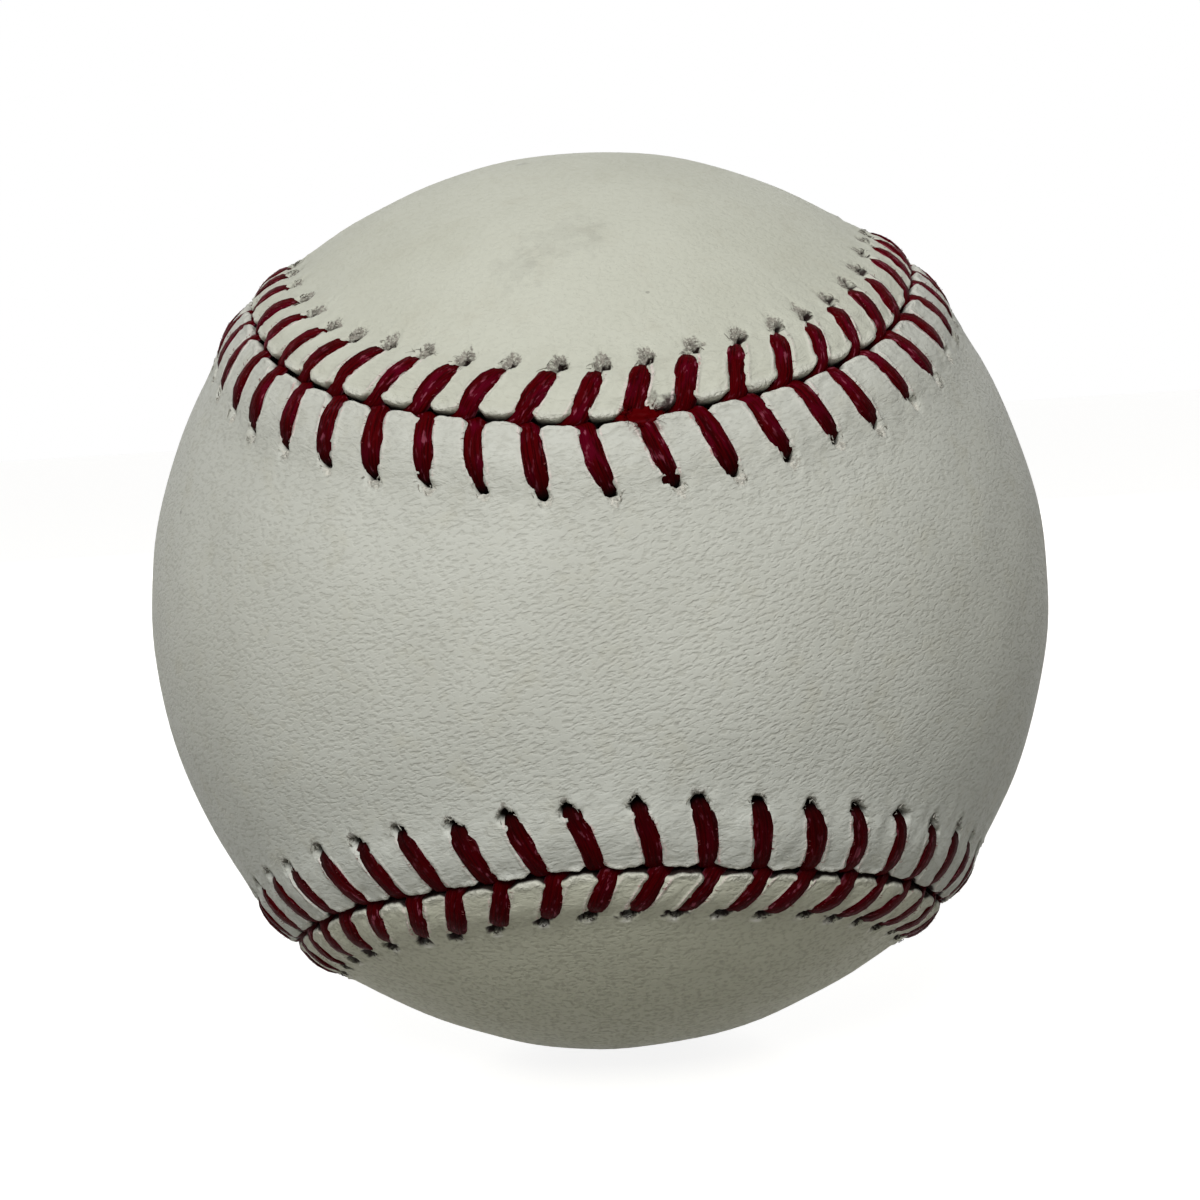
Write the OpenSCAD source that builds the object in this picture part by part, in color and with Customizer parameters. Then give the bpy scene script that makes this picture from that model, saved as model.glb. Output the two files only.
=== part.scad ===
// A baseball: two figure-eight leather panels, sewn edge to edge with red double
// stitches, over cotton and wool windings and a cork pill in two coats of rubber.
// The origin is the centre of the ball and +Z is up. The narrow waist of the front
// panel faces -Y, and the lobes of the back panel wrap over the top and the bottom.

/* [Pill] */
// Diameter of the cork core
cork_d = 20.6; // [18:0.1:22]
// Thickness of the black rubber half shells
black_shell_t = 4; // [3:0.1:5]
// Thickness of the red washer that seals the half shells
washer_t = 0.8; // [0.4:0.1:1.6]
// Thickness of the red rubber coat
red_rubber_t = 2.4; // [1.6:0.1:3.2]

/* [Windings] */
// Thickness of the first winding, four-ply grey wool
inner_wool_t = 14.55; // [12:0.05:16]
// Thickness of the second winding, three-ply white wool
white_wool_t = 1.72; // [1.2:0.02:2.4]
// Thickness of the third winding, three-ply grey wool
outer_wool_t = 2.24; // [1.6:0.02:3]
// Thickness of the finishing winding of cotton yarn
cotton_t = 0.47; // [0.3:0.01:0.8]
// Gap between each layer and the next
layer_gap = 0.03; // [0.02:0.01:0.05]

/* [Cover] */
// Thickness of the leather
leather_t = 1.25; // [1.1:0.01:1.5]
// Film of cement between the cotton and the leather
cement_t = 0.05; // [0.03:0.01:0.1]
// Gap between the edges of the two panels
seam_gap = 0.12; // [0.08:0.01:0.2]
// Height of the puckered pillows beside the seam over the plain leather
pillow_h = 0.95; // [0.7:0.01:1.1]
// Width of the raised band on each side of the seam
band_w = 7.8; // [7:0.1:9]

/* [Seam line] */
// Angle at the centre of the ball from the middle of a waist to its edge
waist_angle = 23.9; // [22:0.1:28]
// Angle by which the seam swings out round each lobe
lobe_swing = 24.2; // [20:0.1:26]
// Angle by which the shoulders of each lobe are squared
shoulder_swing = 4.9; // [0:0.1:6]
// Share of the seam's rise that goes to the corners of the waist
corner_share = 0.078; // [0:0.001:0.1]

/* [Stitches] */
// Number of double stitches round the seam
double_stitches = 108; // [100:4:112]
// Width of the waxed thread, flattened where it lies on the leather
thread_w = 1.4; // [1.2:0.02:1.46]
// Thickness of the flattened thread
thread_t = 0.8; // [0.7:0.02:0.86]
// Gap between the thread and the leather beside it
thread_gap = 0.08; // [0.06:0.01:0.1]
// Height of the thread's top over the plain leather
thread_rise = 1.25; // [1.2:0.01:1.4]
// Radius in which each leg of a stitch bows over the leather
leg_bow_r = 3.4; // [3.3:0.02:3.6]
// Distance from the seam to the middle of a stitch hole
hole_v = 4.7; // [4.6:0.02:4.8]
// Length of a stitch hole, across the seam
hole_len = 1.5; // [1.4:0.02:1.6]
// How far a leg leans along the seam between the seam and its hole
leg_lean = 1.45; // [1:0.05:1.8]
// Half the step along the seam between the front and the back leg of a stitch
leg_step = 0.35; // [0.2:0.01:0.5]
// Place of the first stitch along the seam
first_stitch = -0.14; // [-1:0.02:1]
// How far the sewing runs ahead at one waist, and behind at the other
sewing_drift = 0.82; // [0:0.02:1]

/* [Hidden] */

// Facets of the smooth balls and bows, and of the thread's round sides
ball_fn = 256;
thread_fn = 24;
// How far a cutting shape runs past what it cuts
overrun = 1;

// Radii of the layers, each from the one inside it
cork_r = cork_d / 2;
black_in_r = cork_r + layer_gap;
black_r = black_in_r + black_shell_t;
red_in_r = black_r + layer_gap;
red_r = red_in_r + red_rubber_t;
grey_in_r = red_r + layer_gap;
grey_r = grey_in_r + inner_wool_t;
white_in_r = grey_r + layer_gap;
white_r = white_in_r + white_wool_t;
outer_in_r = white_r + layer_gap;
outer_r = outer_in_r + outer_wool_t;
cotton_in_r = outer_r + layer_gap;
cotton_r = cotton_in_r + cotton_t;
lining_r = cotton_r + cement_t;
cover_r = lining_r + leather_t;

FRONT = 1;
BACK = -1;

// The seam runs twice round the ball while its angle goes from 0 to 720
SEAM_TURN = 720;
seam_steps = 720;
// Small steps, of the seam's angle and along the seam, that give its direction
seam_nudge = 0.1;
side_nudge = 0.1;

// Direction of the seam from the centre of the ball
function seam_dir(a) =
    let (rise = (1 - corner_share) * cos(a) + corner_share * cos(3 * a),
        polar = 90 - (90 - waist_angle) * rise,
        turn = a / 2 + lobe_swing * sin(2 * a) + shoulder_swing * sin(4 * a))
    [-sin(polar) * sin(turn), -cos(polar), sin(polar) * cos(turn)];

// Run along the seam, as a share of the cover's radius, against the seam's angle
function step_angle(i) = i * SEAM_TURN / seam_steps;
seam_table = [
    for (i = 0, run = 0; i <= seam_steps;
        run = run + norm(seam_dir(step_angle(i + 1)) - seam_dir(step_angle(i))), i = i + 1)
        [run, step_angle(i)]
];
seam_len = seam_table[seam_steps][0] * cover_r;
pitch = seam_len / double_stitches;

function around(value, whole) = value - floor(value / whole) * whole;
function unit(p) = p / norm(p);
function seam_angle(s) = lookup(around(s, seam_len) / cover_r, seam_table);

// Direction square to the seam, from the front panel's edge into that panel
function seam_side(a) =
    unit(cross(seam_dir(a), seam_dir(a + seam_nudge) - seam_dir(a - seam_nudge)));

// A point on the cover: s along the seam, v away from it, h over the plain leather
function cover_dir(s, v, side) =
    let (a = seam_angle(s), spread = v / cover_r * 180 / PI)
    cos(spread) * seam_dir(a) + side * sin(spread) * seam_side(a);
function cover_point(s, v, h, side) = cover_dir(s, v, side) * (cover_r + h);

// A direction that lies a width w beside that point, alongside the seam
function beside_dir(s, v, w, side) =
    let (ahead = cover_dir(s + side_nudge, v, side) - cover_dir(s - side_nudge, v, side),
        spread = w / cover_r * 180 / PI)
    cos(spread) * cover_dir(s, v, side) + sin(spread) * unit(ahead);

// Place of stitch j along the seam, and of its leg at the distance v from the seam
function stitch_s(j) =
    first_stitch + j * pitch + sewing_drift * cos(360 * j / double_stitches);
function leg_s(j, v, side) =
    stitch_s(j) - side * leg_step - leg_lean * min(v, hole_end) / hole_v;

hole_start = hole_v - hole_len / 2;
hole_end = hole_v + hole_len / 2;

// Columns of the cover's surface beside each leg: the groove that the thread has
// pressed into the leather, and the bank that climbs from it to the pillow
groove_half = (thread_w / 2 + thread_gap) / cos(atan(leg_lean / hole_v));
bank_w = 0.45;
columns = [-groove_half - bank_w, -groove_half, groove_half, groove_half + bank_w];

// Rows from the seam into the panel: distance on a pillow, distance in a groove,
// height of the pillow and height of the groove's floor
edge_w = 0.5;
notch_depth = 0.3;
seam_dip = 0.5;
groove_h = 0.28;
hole_dip = 0.06;
edge_share = 0.6;
brow_share = 0.86;
hole_share = 0.62;
back_share = 0.3;
rows = [
    [seam_gap / 2, seam_gap / 2 + notch_depth, edge_share * pillow_h, -seam_dip],
    [edge_w, edge_w + notch_depth / 2, brow_share * pillow_h, -seam_dip + groove_h / 2],
    [hole_start / 2, hole_start / 2, pillow_h, groove_h],
    [hole_start, hole_start, hole_share * pillow_h, -hole_dip],
    [hole_end, hole_end, back_share * pillow_h, hole_dip],
    [band_w, band_w, 0, 0]
];
HOLE_ROW = 3;
EDGE_ROW = 0;

// The plain leather inside the band: its outer loop has one point a stitch, and
// rungs cross it from side to side
loop_gap = 1.6;
loop_v = band_w + loop_gap;
rung_cells = 9;

n = double_stitches;
n_col = len(columns);
n_row = len(rows);
half_n = n / 2;
function is_groove(c) = c == 1 || c == 2;

// Past the holes the columns fan out or close up with the run of the seam
function column_point(j, c, i, side) =
    let (row = rows[i], v = is_groove(c) ? row[1] : row[0], h = is_groove(c) ? row[3] : row[2],
        s = leg_s(j, v, side))
    i == n_row - 1 ? cover_point(s + columns[c], v, h, side)
        : beside_dir(s, v, columns[c], side) * (cover_r + h);

// The foot of a stitch hole lies inside the windings' ball, so the hole goes through
function foot_point(j, c, i, side) =
    unit(column_point(j, c, i, side)) * (lining_r - overrun);

function loop_point(j, side) = cover_point(leg_s(j, loop_v, side), loop_v, 0, side);

// A point on the great circle between two directions
function between(p, q, share) =
    let (gap = acos(p * q))
    (sin((1 - share) * gap) * p + sin(share * gap) * q) / sin(gap);

// Points are numbered by column and row, then hole feet, loop, rungs and centre
function at(j, c, i) = (around(j, n) * n_col + c) * n_row + i;
foot_0 = n * n_col * n_row;
function foot(j, c, i) = foot_0 + j * 4 + (c - 1) * 2 + i - HOLE_ROW;
loop_0 = foot_0 + n * 4;
function loop_at(j) = loop_0 + around(j, n);
rung_0 = loop_0 + n;
centre = rung_0 + (half_n - 1) * (rung_cells - 1);

// A rung joins the two stitches that lie as far from a lobe's tip
function tip(side) = side == FRONT ? n / 4 : 0;
function rung_at(r, k, side) =
    k == 0 || r == 0 || r == half_n ? loop_at(tip(side) + r)
    : k == rung_cells ? loop_at(tip(side) - r)
    : rung_0 + (r - 1) * (rung_cells - 1) + k - 1;

function panel_points(side) = [
    for (j = [0:n - 1], c = [0:n_col - 1], i = [0:n_row - 1]) column_point(j, c, i, side),
    for (j = [0:n - 1], c = [1, 2], i = [HOLE_ROW, HOLE_ROW + 1]) foot_point(j, c, i, side),
    for (j = [0:n - 1]) loop_point(j, side),
    for (r = [1:half_n - 1])
        let (p = loop_point(around(tip(side) + r, n), side) / cover_r,
            q = loop_point(around(tip(side) - r, n), side) / cover_r)
        for (k = [1:rung_cells - 1]) between(p, q, k / rung_cells) * cover_r,
    [0, 0, 0]
];

function quad(a, b, c, d) = [[a, b, c], [a, c, d]];
function next_at(j, c, i) = c == n_col - 1 ? at(j + 1, 0, i) : at(j, c + 1, i);

// The four walls and the floor of one stitch hole
function hole_faces(j) =
    let (i = HOLE_ROW, k = HOLE_ROW + 1)
    concat(
        quad(foot(j, 1, i), foot(j, 1, k), foot(j, 2, k), foot(j, 2, i)),
        quad(at(j, 1, i), at(j, 1, k), foot(j, 1, k), foot(j, 1, i)),
        quad(at(j, 1, k), at(j, 2, k), foot(j, 2, k), foot(j, 1, k)),
        quad(at(j, 2, k), at(j, 2, i), foot(j, 2, i), foot(j, 2, k)),
        quad(at(j, 2, i), at(j, 1, i), foot(j, 1, i), foot(j, 2, i)));

function band_faces() = [
    for (j = [0:n - 1], c = [0:n_col - 1], i = [0:n_row - 2])
        each c == 1 && i == HOLE_ROW ? hole_faces(j)
            : quad(at(j, c, i), at(j, c, i + 1), next_at(j, c, i + 1), next_at(j, c, i))
];

function loop_faces() = [
    for (j = [0:n - 1], last = [n_row - 1]) each [
        [at(j, 0, last), loop_at(j), at(j, 1, last)],
        [at(j, 1, last), loop_at(j), at(j, 2, last)],
        [at(j, 2, last), loop_at(j), at(j, 3, last)],
        [at(j, 3, last), loop_at(j), loop_at(j + 1)],
        [at(j, 3, last), loop_at(j + 1), at(j + 1, 0, last)]
    ]
];

function rung_faces(side) = [
    for (r = [0:half_n - 1], k = [0:rung_cells - 1])
        let (a = rung_at(r, k, side), b = rung_at(r, k + 1, side),
            c = rung_at(r + 1, k + 1, side), d = rung_at(r + 1, k, side))
        each r == 0 ? [[a, c, d]] : r == half_n - 1 ? [[a, b, c]] : quad(a, b, c, d)
];

function edge_faces() = [
    for (j = [0:n - 1], c = [0:n_col - 1])
        [centre, at(j, c, EDGE_ROW), next_at(j, c, EDGE_ROW)]
];

function panel_faces(side) =
    let (faces = concat(band_faces(), loop_faces(), rung_faces(side), edge_faces()))
    side == FRONT ? faces : [for (f = faces) [f[2], f[1], f[0]]];

module ball(r) {
    sphere(r, $fn = ball_fn);
}

module layer(in_r, out_r) {
    difference() {
        ball(out_r);
        ball(in_r);
    }
}

// A slab as wide as the half shells, between two heights
module slab(low, high) {
    reach = black_r + overrun;
    translate([-reach, -reach, low])
        cube([2 * reach, 2 * reach, high - low]);
}

module cork_core() {
    color("#b08a5a") ball(cork_r);
}

module black_shell(low, high) {
    color("#202022")
        intersection() {
            layer(black_in_r, black_r);
            slab(low, high);
        }
}

module black_shell_lower() {
    black_shell(-black_r - overrun, -washer_t / 2 - layer_gap);
}

module black_shell_upper() {
    black_shell(washer_t / 2 + layer_gap, black_r + overrun);
}

module red_washer() {
    color("#a8302a")
        intersection() {
            layer(black_in_r, black_r);
            slab(-washer_t / 2, washer_t / 2);
        }
}

module red_rubber_coat() {
    color("#b83a30") layer(red_in_r, red_r);
}

module grey_wool_inner() {
    color("#8b929a") layer(grey_in_r, grey_r);
}

module white_wool() {
    color("#e4e0d4") layer(white_in_r, white_r);
}

module grey_wool_outer() {
    color("#8b929a") layer(outer_in_r, outer_r);
}

module cotton_winding() {
    color("#f0ede2") layer(cotton_in_r, cotton_r);
}

// The ball that hollows a panel turns its poles to where the other panel is
module leather_panel(side) {
    color("#d6d5c8")
        difference() {
            polyhedron(panel_points(side), panel_faces(side));
            rotate([0, side == FRONT ? 0 : 90, 0])
                ball(lining_r);
        }
}

module leather_panel_front() {
    leather_panel(FRONT);
}

module leather_panel_back() {
    leather_panel(BACK);
}

// Flattened section of the thread: thickness along x, width along y
module thread_section() {
    square([thread_t, thread_w - thread_t], center = true);
    for (end = [-1, 1])
        translate([0, end * (thread_w - thread_t) / 2])
            circle(thread_t / 2, $fn = thread_fn);
}

// One leg of a stitch bows from the seam over the leather and down into its hole
leg_end_v = 0.35;
leg_dive = 0.3;
leg_mid_v = (leg_end_v + hole_v) / 2;

module stitch_leg(j, side) {
    seam_end = cover_dir(leg_s(j, leg_end_v, side), leg_end_v, side);
    hole_mid = cover_dir(leg_s(j, hole_v, side), hole_v, side);
    up = unit(seam_end + hole_mid);
    across = unit(cross(up, hole_mid - seam_end));
    along = cross(across, up);
    half_leg = norm(hole_mid - seam_end) * cover_r / 2;
    seam_bow = asin(half_leg / leg_bow_r);
    hole_bow = asin((half_leg + leg_dive) / leg_bow_r);
    middle = up * (cover_r + thread_rise - thread_t / 2 - leg_bow_r);
    multmatrix([
        [up.x, along.x, across.x, middle.x],
        [up.y, along.y, across.y, middle.y],
        [up.z, along.z, across.z, middle.z]
    ])
        rotate(-seam_bow)
            rotate_extrude(angle = seam_bow + hole_bow, $fn = ball_fn)
                translate([leg_bow_r, 0])
                    thread_section();
}

// The two needles take turns: where one is in the front panel the other is in the back
module thread(first) {
    color("#8e1c30")
        for (j = [0:n - 1])
            stitch_leg(j, (j + first) % 2 == 0 ? FRONT : BACK);
}

module thread_first_needle() {
    thread(0);
}

module thread_second_needle() {
    thread(1);
}

cork_core();
black_shell_lower();
black_shell_upper();
red_washer();
red_rubber_coat();
grey_wool_inner();
white_wool();
grey_wool_outer();
cotton_winding();
leather_panel_front();
leather_panel_back();
thread_first_needle();
thread_second_needle();
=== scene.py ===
"""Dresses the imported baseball: leather cover, sewn seam, windings and pill, with floor, lamps and camera.

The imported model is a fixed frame. The two leather panels and the two threads are
replaced by finer pieces that follow the same seam, and the inner layers keep their
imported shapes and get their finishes. All sizes in the classes are in millimetres.
"""
import logging
import math
from dataclasses import dataclass, field
from enum import Enum
from typing import Sequence, Union

import bmesh
import bpy
import numpy as np
from mathutils import Matrix, Vector


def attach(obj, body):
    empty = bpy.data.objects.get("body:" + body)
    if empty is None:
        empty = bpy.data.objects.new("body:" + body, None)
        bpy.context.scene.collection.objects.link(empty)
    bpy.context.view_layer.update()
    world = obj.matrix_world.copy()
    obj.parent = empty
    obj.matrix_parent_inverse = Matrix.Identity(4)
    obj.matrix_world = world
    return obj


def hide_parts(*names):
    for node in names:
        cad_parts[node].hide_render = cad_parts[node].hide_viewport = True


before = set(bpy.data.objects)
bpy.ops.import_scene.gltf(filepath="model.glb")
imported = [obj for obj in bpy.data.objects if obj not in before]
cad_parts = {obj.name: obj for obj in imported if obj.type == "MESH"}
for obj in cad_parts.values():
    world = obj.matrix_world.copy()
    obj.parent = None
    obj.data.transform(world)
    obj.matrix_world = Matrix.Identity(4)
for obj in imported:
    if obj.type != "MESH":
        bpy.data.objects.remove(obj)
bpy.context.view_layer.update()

LOG = logging.getLogger("baseball")
MM = 0.001
COVER_R = 37.16
FRAYED_AT = (3.6, -34.9, 15.1)

Array = np.ndarray
Socket = bpy.types.NodeSocket
Value = Union[float, int, Sequence[float], Socket]


class PanelSide(Enum):
    """Which of the two leather panels a piece belongs to."""

    FRONT = 1
    BACK = -1


class Needle(Enum):
    """The two needles, by the parity of the stitches they put in the front panel."""

    FIRST = 0
    SECOND = 1


def smoothstep(low: float, high: float, x: Array) -> Array:
    """Rises smoothly from 0 at low to 1 at high.

    Args:
        low: Where the rise begins.
        high: Where the rise ends.
        x: Where it is read.

    Returns:
        The smooth step at each x.
    """
    t = np.clip((x - low) / (high - low), 0, 1)
    return t * t * (3 - 2 * t)


def bell(x: Array, width: float) -> Array:
    """A smooth bump of height 1 round zero.

    Args:
        x: Distance from the middle of the bump.
        width: Distance at which it has fallen to about a third.

    Returns:
        The bump at each x.
    """
    return np.exp(-((x / width) ** 2))


def smooth_curve(x: Array, knots: Sequence[float], heights: Sequence[float]) -> Array:
    """Reads a smooth curve through a few knots.

    Args:
        x: Where the curve is read; it is held level past both ends.
        knots: Rising places of the knots.
        heights: Height of the curve at each knot.

    Returns:
        The height of the curve at each x.
    """
    k, y = np.asarray(knots, float), np.asarray(heights, float)
    slope = np.gradient(y, k)
    x = np.clip(x, k[0], k[-1])
    i = np.clip(np.searchsorted(k, x, side="right") - 1, 0, len(k) - 2)
    gap = k[i + 1] - k[i]
    t = (x - k[i]) / gap
    return (
        (2 * t**3 - 3 * t**2 + 1) * y[i]
        + (t**3 - 2 * t**2 + t) * gap * slope[i]
        + (3 * t**2 - 2 * t**3) * y[i + 1]
        + (t**3 - t**2) * gap * slope[i + 1]
    )


def unit(p: Array) -> Array:
    """Scales vectors to length 1."""
    return p / np.linalg.norm(p, axis=-1, keepdims=True)


def ripple(points: Array, wavelength: float, seed: int, waves: int = 14) -> Array:
    """Smooth random relief made of plane waves in many directions.

    Args:
        points: Places in millimetres, three numbers each.
        wavelength: Middle wavelength of the relief.
        seed: Seed of the directions and phases.
        waves: Number of waves that are added.

    Returns:
        Relief with a spread of about 1 at each point.
    """
    rng = np.random.default_rng(seed)
    heading = unit(rng.normal(size=(waves, 3))) * rng.uniform(0.6, 1.6, (waves, 1))
    phase = rng.uniform(0, 2 * np.pi, waves)
    total = np.zeros(points.shape[:-1])
    for h, p in zip(heading, phase):
        total += np.sin(points @ h * (2 * np.pi / wavelength) + p)
    return total * math.sqrt(2 / waves)


@dataclass(frozen=True)
class Scatter:
    """Normal spread of a hand-made size, cut off at both ends."""

    mean: float
    spread: float
    low: float
    high: float

    def draw(self, rng: np.random.Generator, count: int) -> Array:
        """Draws a number of sizes."""
        return rng.normal(self.mean, self.spread, count).clip(self.low, self.high)


@dataclass(frozen=True)
class Waver:
    """Smooth random relief of one height and wavelength, in millimetres."""

    height: float
    wavelength: float
    seed: int

    def at(self, points: Array) -> Array:
        """Relief at each point."""
        return self.height * ripple(points, self.wavelength, self.seed)


@dataclass
class Seam:
    """The closed line on which the edges of the two panels meet.

    Places on the cover are given by the run s along the seam and the distance v from
    it, into one of the panels.
    """

    cover_r: float = COVER_R
    waist_angle: float = 23.9
    lobe_swing: float = 24.2
    shoulder_swing: float = 4.9
    corner_share: float = 0.078
    steps: int = 2880
    probe_angle: float = 0.1
    probe_run: float = 0.05
    run: Array = field(init=False)
    turn: Array = field(init=False)
    length: float = field(init=False)

    def __post_init__(self) -> None:
        """Measures the run along the seam against its angle."""
        self.turn = np.linspace(0, 720, self.steps + 1)
        hops = np.linalg.norm(np.diff(self.direction(self.turn), axis=0), axis=1)
        self.run = np.concatenate([[0], np.cumsum(hops)]) * self.cover_r
        self.length = float(self.run[-1])

    def direction(self, angle: Array) -> Array:
        """Direction of the seam from the ball's centre.

        Args:
            angle: The seam's own angle in degrees, from 0 to 720.

        Returns:
            Unit vectors.
        """
        a = np.radians(angle)
        rise = (1 - self.corner_share) * np.cos(a) + self.corner_share * np.cos(3 * a)
        polar = np.radians(90 - (90 - self.waist_angle) * rise)
        swing = np.radians(self.lobe_swing * np.sin(2 * a) + self.shoulder_swing * np.sin(4 * a))
        turn = a / 2 + swing
        return np.stack(
            [-np.sin(polar) * np.sin(turn), -np.cos(polar), np.sin(polar) * np.cos(turn)], -1
        )

    def place(self, s: Array, v: Array, side: PanelSide) -> Array:
        """Direction of a place on the cover.

        Args:
            s: Run along the seam.
            v: Distance from the seam into the panel.
            side: The panel.

        Returns:
            Unit vectors from the ball's centre.
        """
        s, v = np.broadcast_arrays(s, v)
        angle = np.interp(np.mod(s, self.length), self.run, self.turn)
        here = self.direction(angle)
        ahead = self.direction(angle + self.probe_angle) - self.direction(angle - self.probe_angle)
        inward = unit(np.cross(here, ahead)) * side.value
        spread = (v / self.cover_r)[..., None]
        return np.cos(spread) * here + np.sin(spread) * inward

    def nearest(self, point: Sequence[float]) -> float:
        """Run of the seam's place nearest to a point."""
        gap = np.linalg.norm(self.direction(self.turn) - unit(np.asarray(point, float)), axis=1)
        return float(self.run[gap.argmin()])

    def stretch(self, s: Array, v: Array, side: PanelSide) -> Array:
        """How much wider or narrower a step along the seam is at a distance from it.

        Args:
            s: Run along the seam.
            v: Distance from the seam into the panel.
            side: The panel.

        Returns:
            True width of one millimetre of the seam's run.
        """
        step = self.place(s + self.probe_run, v, side) - self.place(s - self.probe_run, v, side)
        return np.linalg.norm(step, axis=-1) * self.cover_r / (2 * self.probe_run)


@dataclass
class Sewing:
    """Where each leg of each stitch lies, with the small irregularities of hand sewing."""

    seam: Seam
    stitches: int = 108
    first_stitch: float = -0.14
    drift: float = 0.82
    step: float = 0.41
    lean: dict[PanelSide, float] = field(
        default_factory=lambda: {PanelSide.FRONT: 1.09, PanelSide.BACK: 1.94})
    hole_v: dict[PanelSide, float] = field(
        default_factory=lambda: {PanelSide.FRONT: 4.7, PanelSide.BACK: 3.85})
    past_hole: float = 0.75
    course_hole: float = 4.7
    strand_w: float = 1.66
    strand_t: float = 0.62
    swell_h: float = 0.95
    # The strand's course: distance from the seam, height of its middle, run past its line
    course_v: Sequence[float] = (-0.14, -0.02, 0.28, 1.05, 2.25, 3.35, 4.2, 4.66, 4.8)
    course_h: Sequence[float] = (-0.45, -0.08, 0.3, 0.68, 0.82, 0.72, 0.43, -0.02, -0.9)
    course_s: Sequence[float] = (1.8, 0.72, 0.14, 0.0, 0.0, 0.0, 0.0, 0.0, 0.0)
    # The legs' own irregularities: sideways, in reach, in width and in bow
    sways: Scatter = Scatter(0, 0.12, -0.24, 0.24)
    reaches: Scatter = Scatter(0, 0.1, -0.2, 0.2)
    plumps: Scatter = Scatter(1, 0.045, 0.92, 1.08)
    bows: Scatter = Scatter(0.13, 0.11, -0.1, 0.36)
    seed: int = 7
    sway: dict[PanelSide, Array] = field(init=False)
    reach: dict[PanelSide, Array] = field(init=False)
    plump: dict[PanelSide, Array] = field(init=False)
    bow: dict[PanelSide, Array] = field(init=False)

    def __post_init__(self) -> None:
        """Draws each leg's own irregularities from the seed."""
        rng = np.random.default_rng(self.seed)
        self.sway, self.reach, self.plump, self.bow = (
            {side: scatter.draw(rng, self.stitches) for side in PanelSide}
            for scatter in (self.sways, self.reaches, self.plumps, self.bows)
        )

    @property
    def pitch(self) -> float:
        """Run of the seam from one stitch to the next."""
        return self.seam.length / self.stitches

    def share(self, side: PanelSide) -> float:
        """Length of a panel's legs against the course that the knots give."""
        return self.hole_v[side] / self.course_hole

    def line(self, j: Array, v: Array, side: PanelSide) -> Array:
        """Run along the seam of the line that a leg follows.

        Args:
            j: Number of the stitch; between whole numbers it gives the pillow between.
            v: Distance from the seam.
            side: The panel.

        Returns:
            Run along the seam.
        """
        middle = self.first_stitch + j * self.pitch
        drift = self.drift * np.cos(2 * np.pi * j / self.stitches)
        hole = self.hole_v[side]
        lean = self.lean[side] * np.minimum(v, hole + self.past_hole) / hole
        return middle + drift - side.value * self.step - lean

    def aside(self, j: Array, v: Array, side: PanelSide) -> Array:
        """How far a leg strays sideways from its line.

        Args:
            j: Whole number of the stitch.
            v: Distance from the seam.
            side: The panel.

        Returns:
            Sideways distance along the seam.
        """
        whole = np.mod(j, self.stitches).astype(int)
        arch = np.sin(np.pi * np.clip(v / self.hole_v[side], 0, 1))
        return self.sway[side][whole] + self.bow[side][whole] * arch

    def strand_middle(self, v: Array, side: PanelSide) -> Array:
        """Height of the middle of the strand over the plain leather.

        Args:
            v: Distance from the seam.
            side: The panel.

        Returns:
            Height at each distance.
        """
        return smooth_curve(v / self.share(side), self.course_v[1:-1], self.course_h[1:-1])

    def swell(self, v: Array, side: PanelSide) -> Array:
        """Height to which the leather bulges between the legs, with its long skirt.

        Args:
            v: Distance from the seam.
            side: The panel.

        Returns:
            Height over the round cover.
        """
        return self.swell_h * smooth_curve(
            v / self.share(side),
            (0, 0.3, 0.8, 1.5, 2.3, 3.2, 4.1, 4.8, 5.6, 6.7, 8.1, 9.6, 11.5, 13.5, 16),
            (0.72, 0.86, 0.94, 0.99, 1, 0.92, 0.73, 0.54, 0.38, 0.25, 0.165, 0.12, 0.075, 0.03, 0),
        )


@dataclass(frozen=True)
class HoleShape:
    """A needle hole: the dark pit and the frayed patch past it.

    Each pair holds the size at the top of the ball and the size at its underside.
    """

    aside: tuple[float, float]
    past: tuple[float, float]
    half_w: tuple[float, float]
    half_l: tuple[float, float]
    torn_past: tuple[float, float]
    torn_w: tuple[float, float]
    torn_l: tuple[float, float]
    flap: float
    flap_past: float
    # Reach of the painted shade round the pit, against the hole's size
    recess_shade: float


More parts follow.
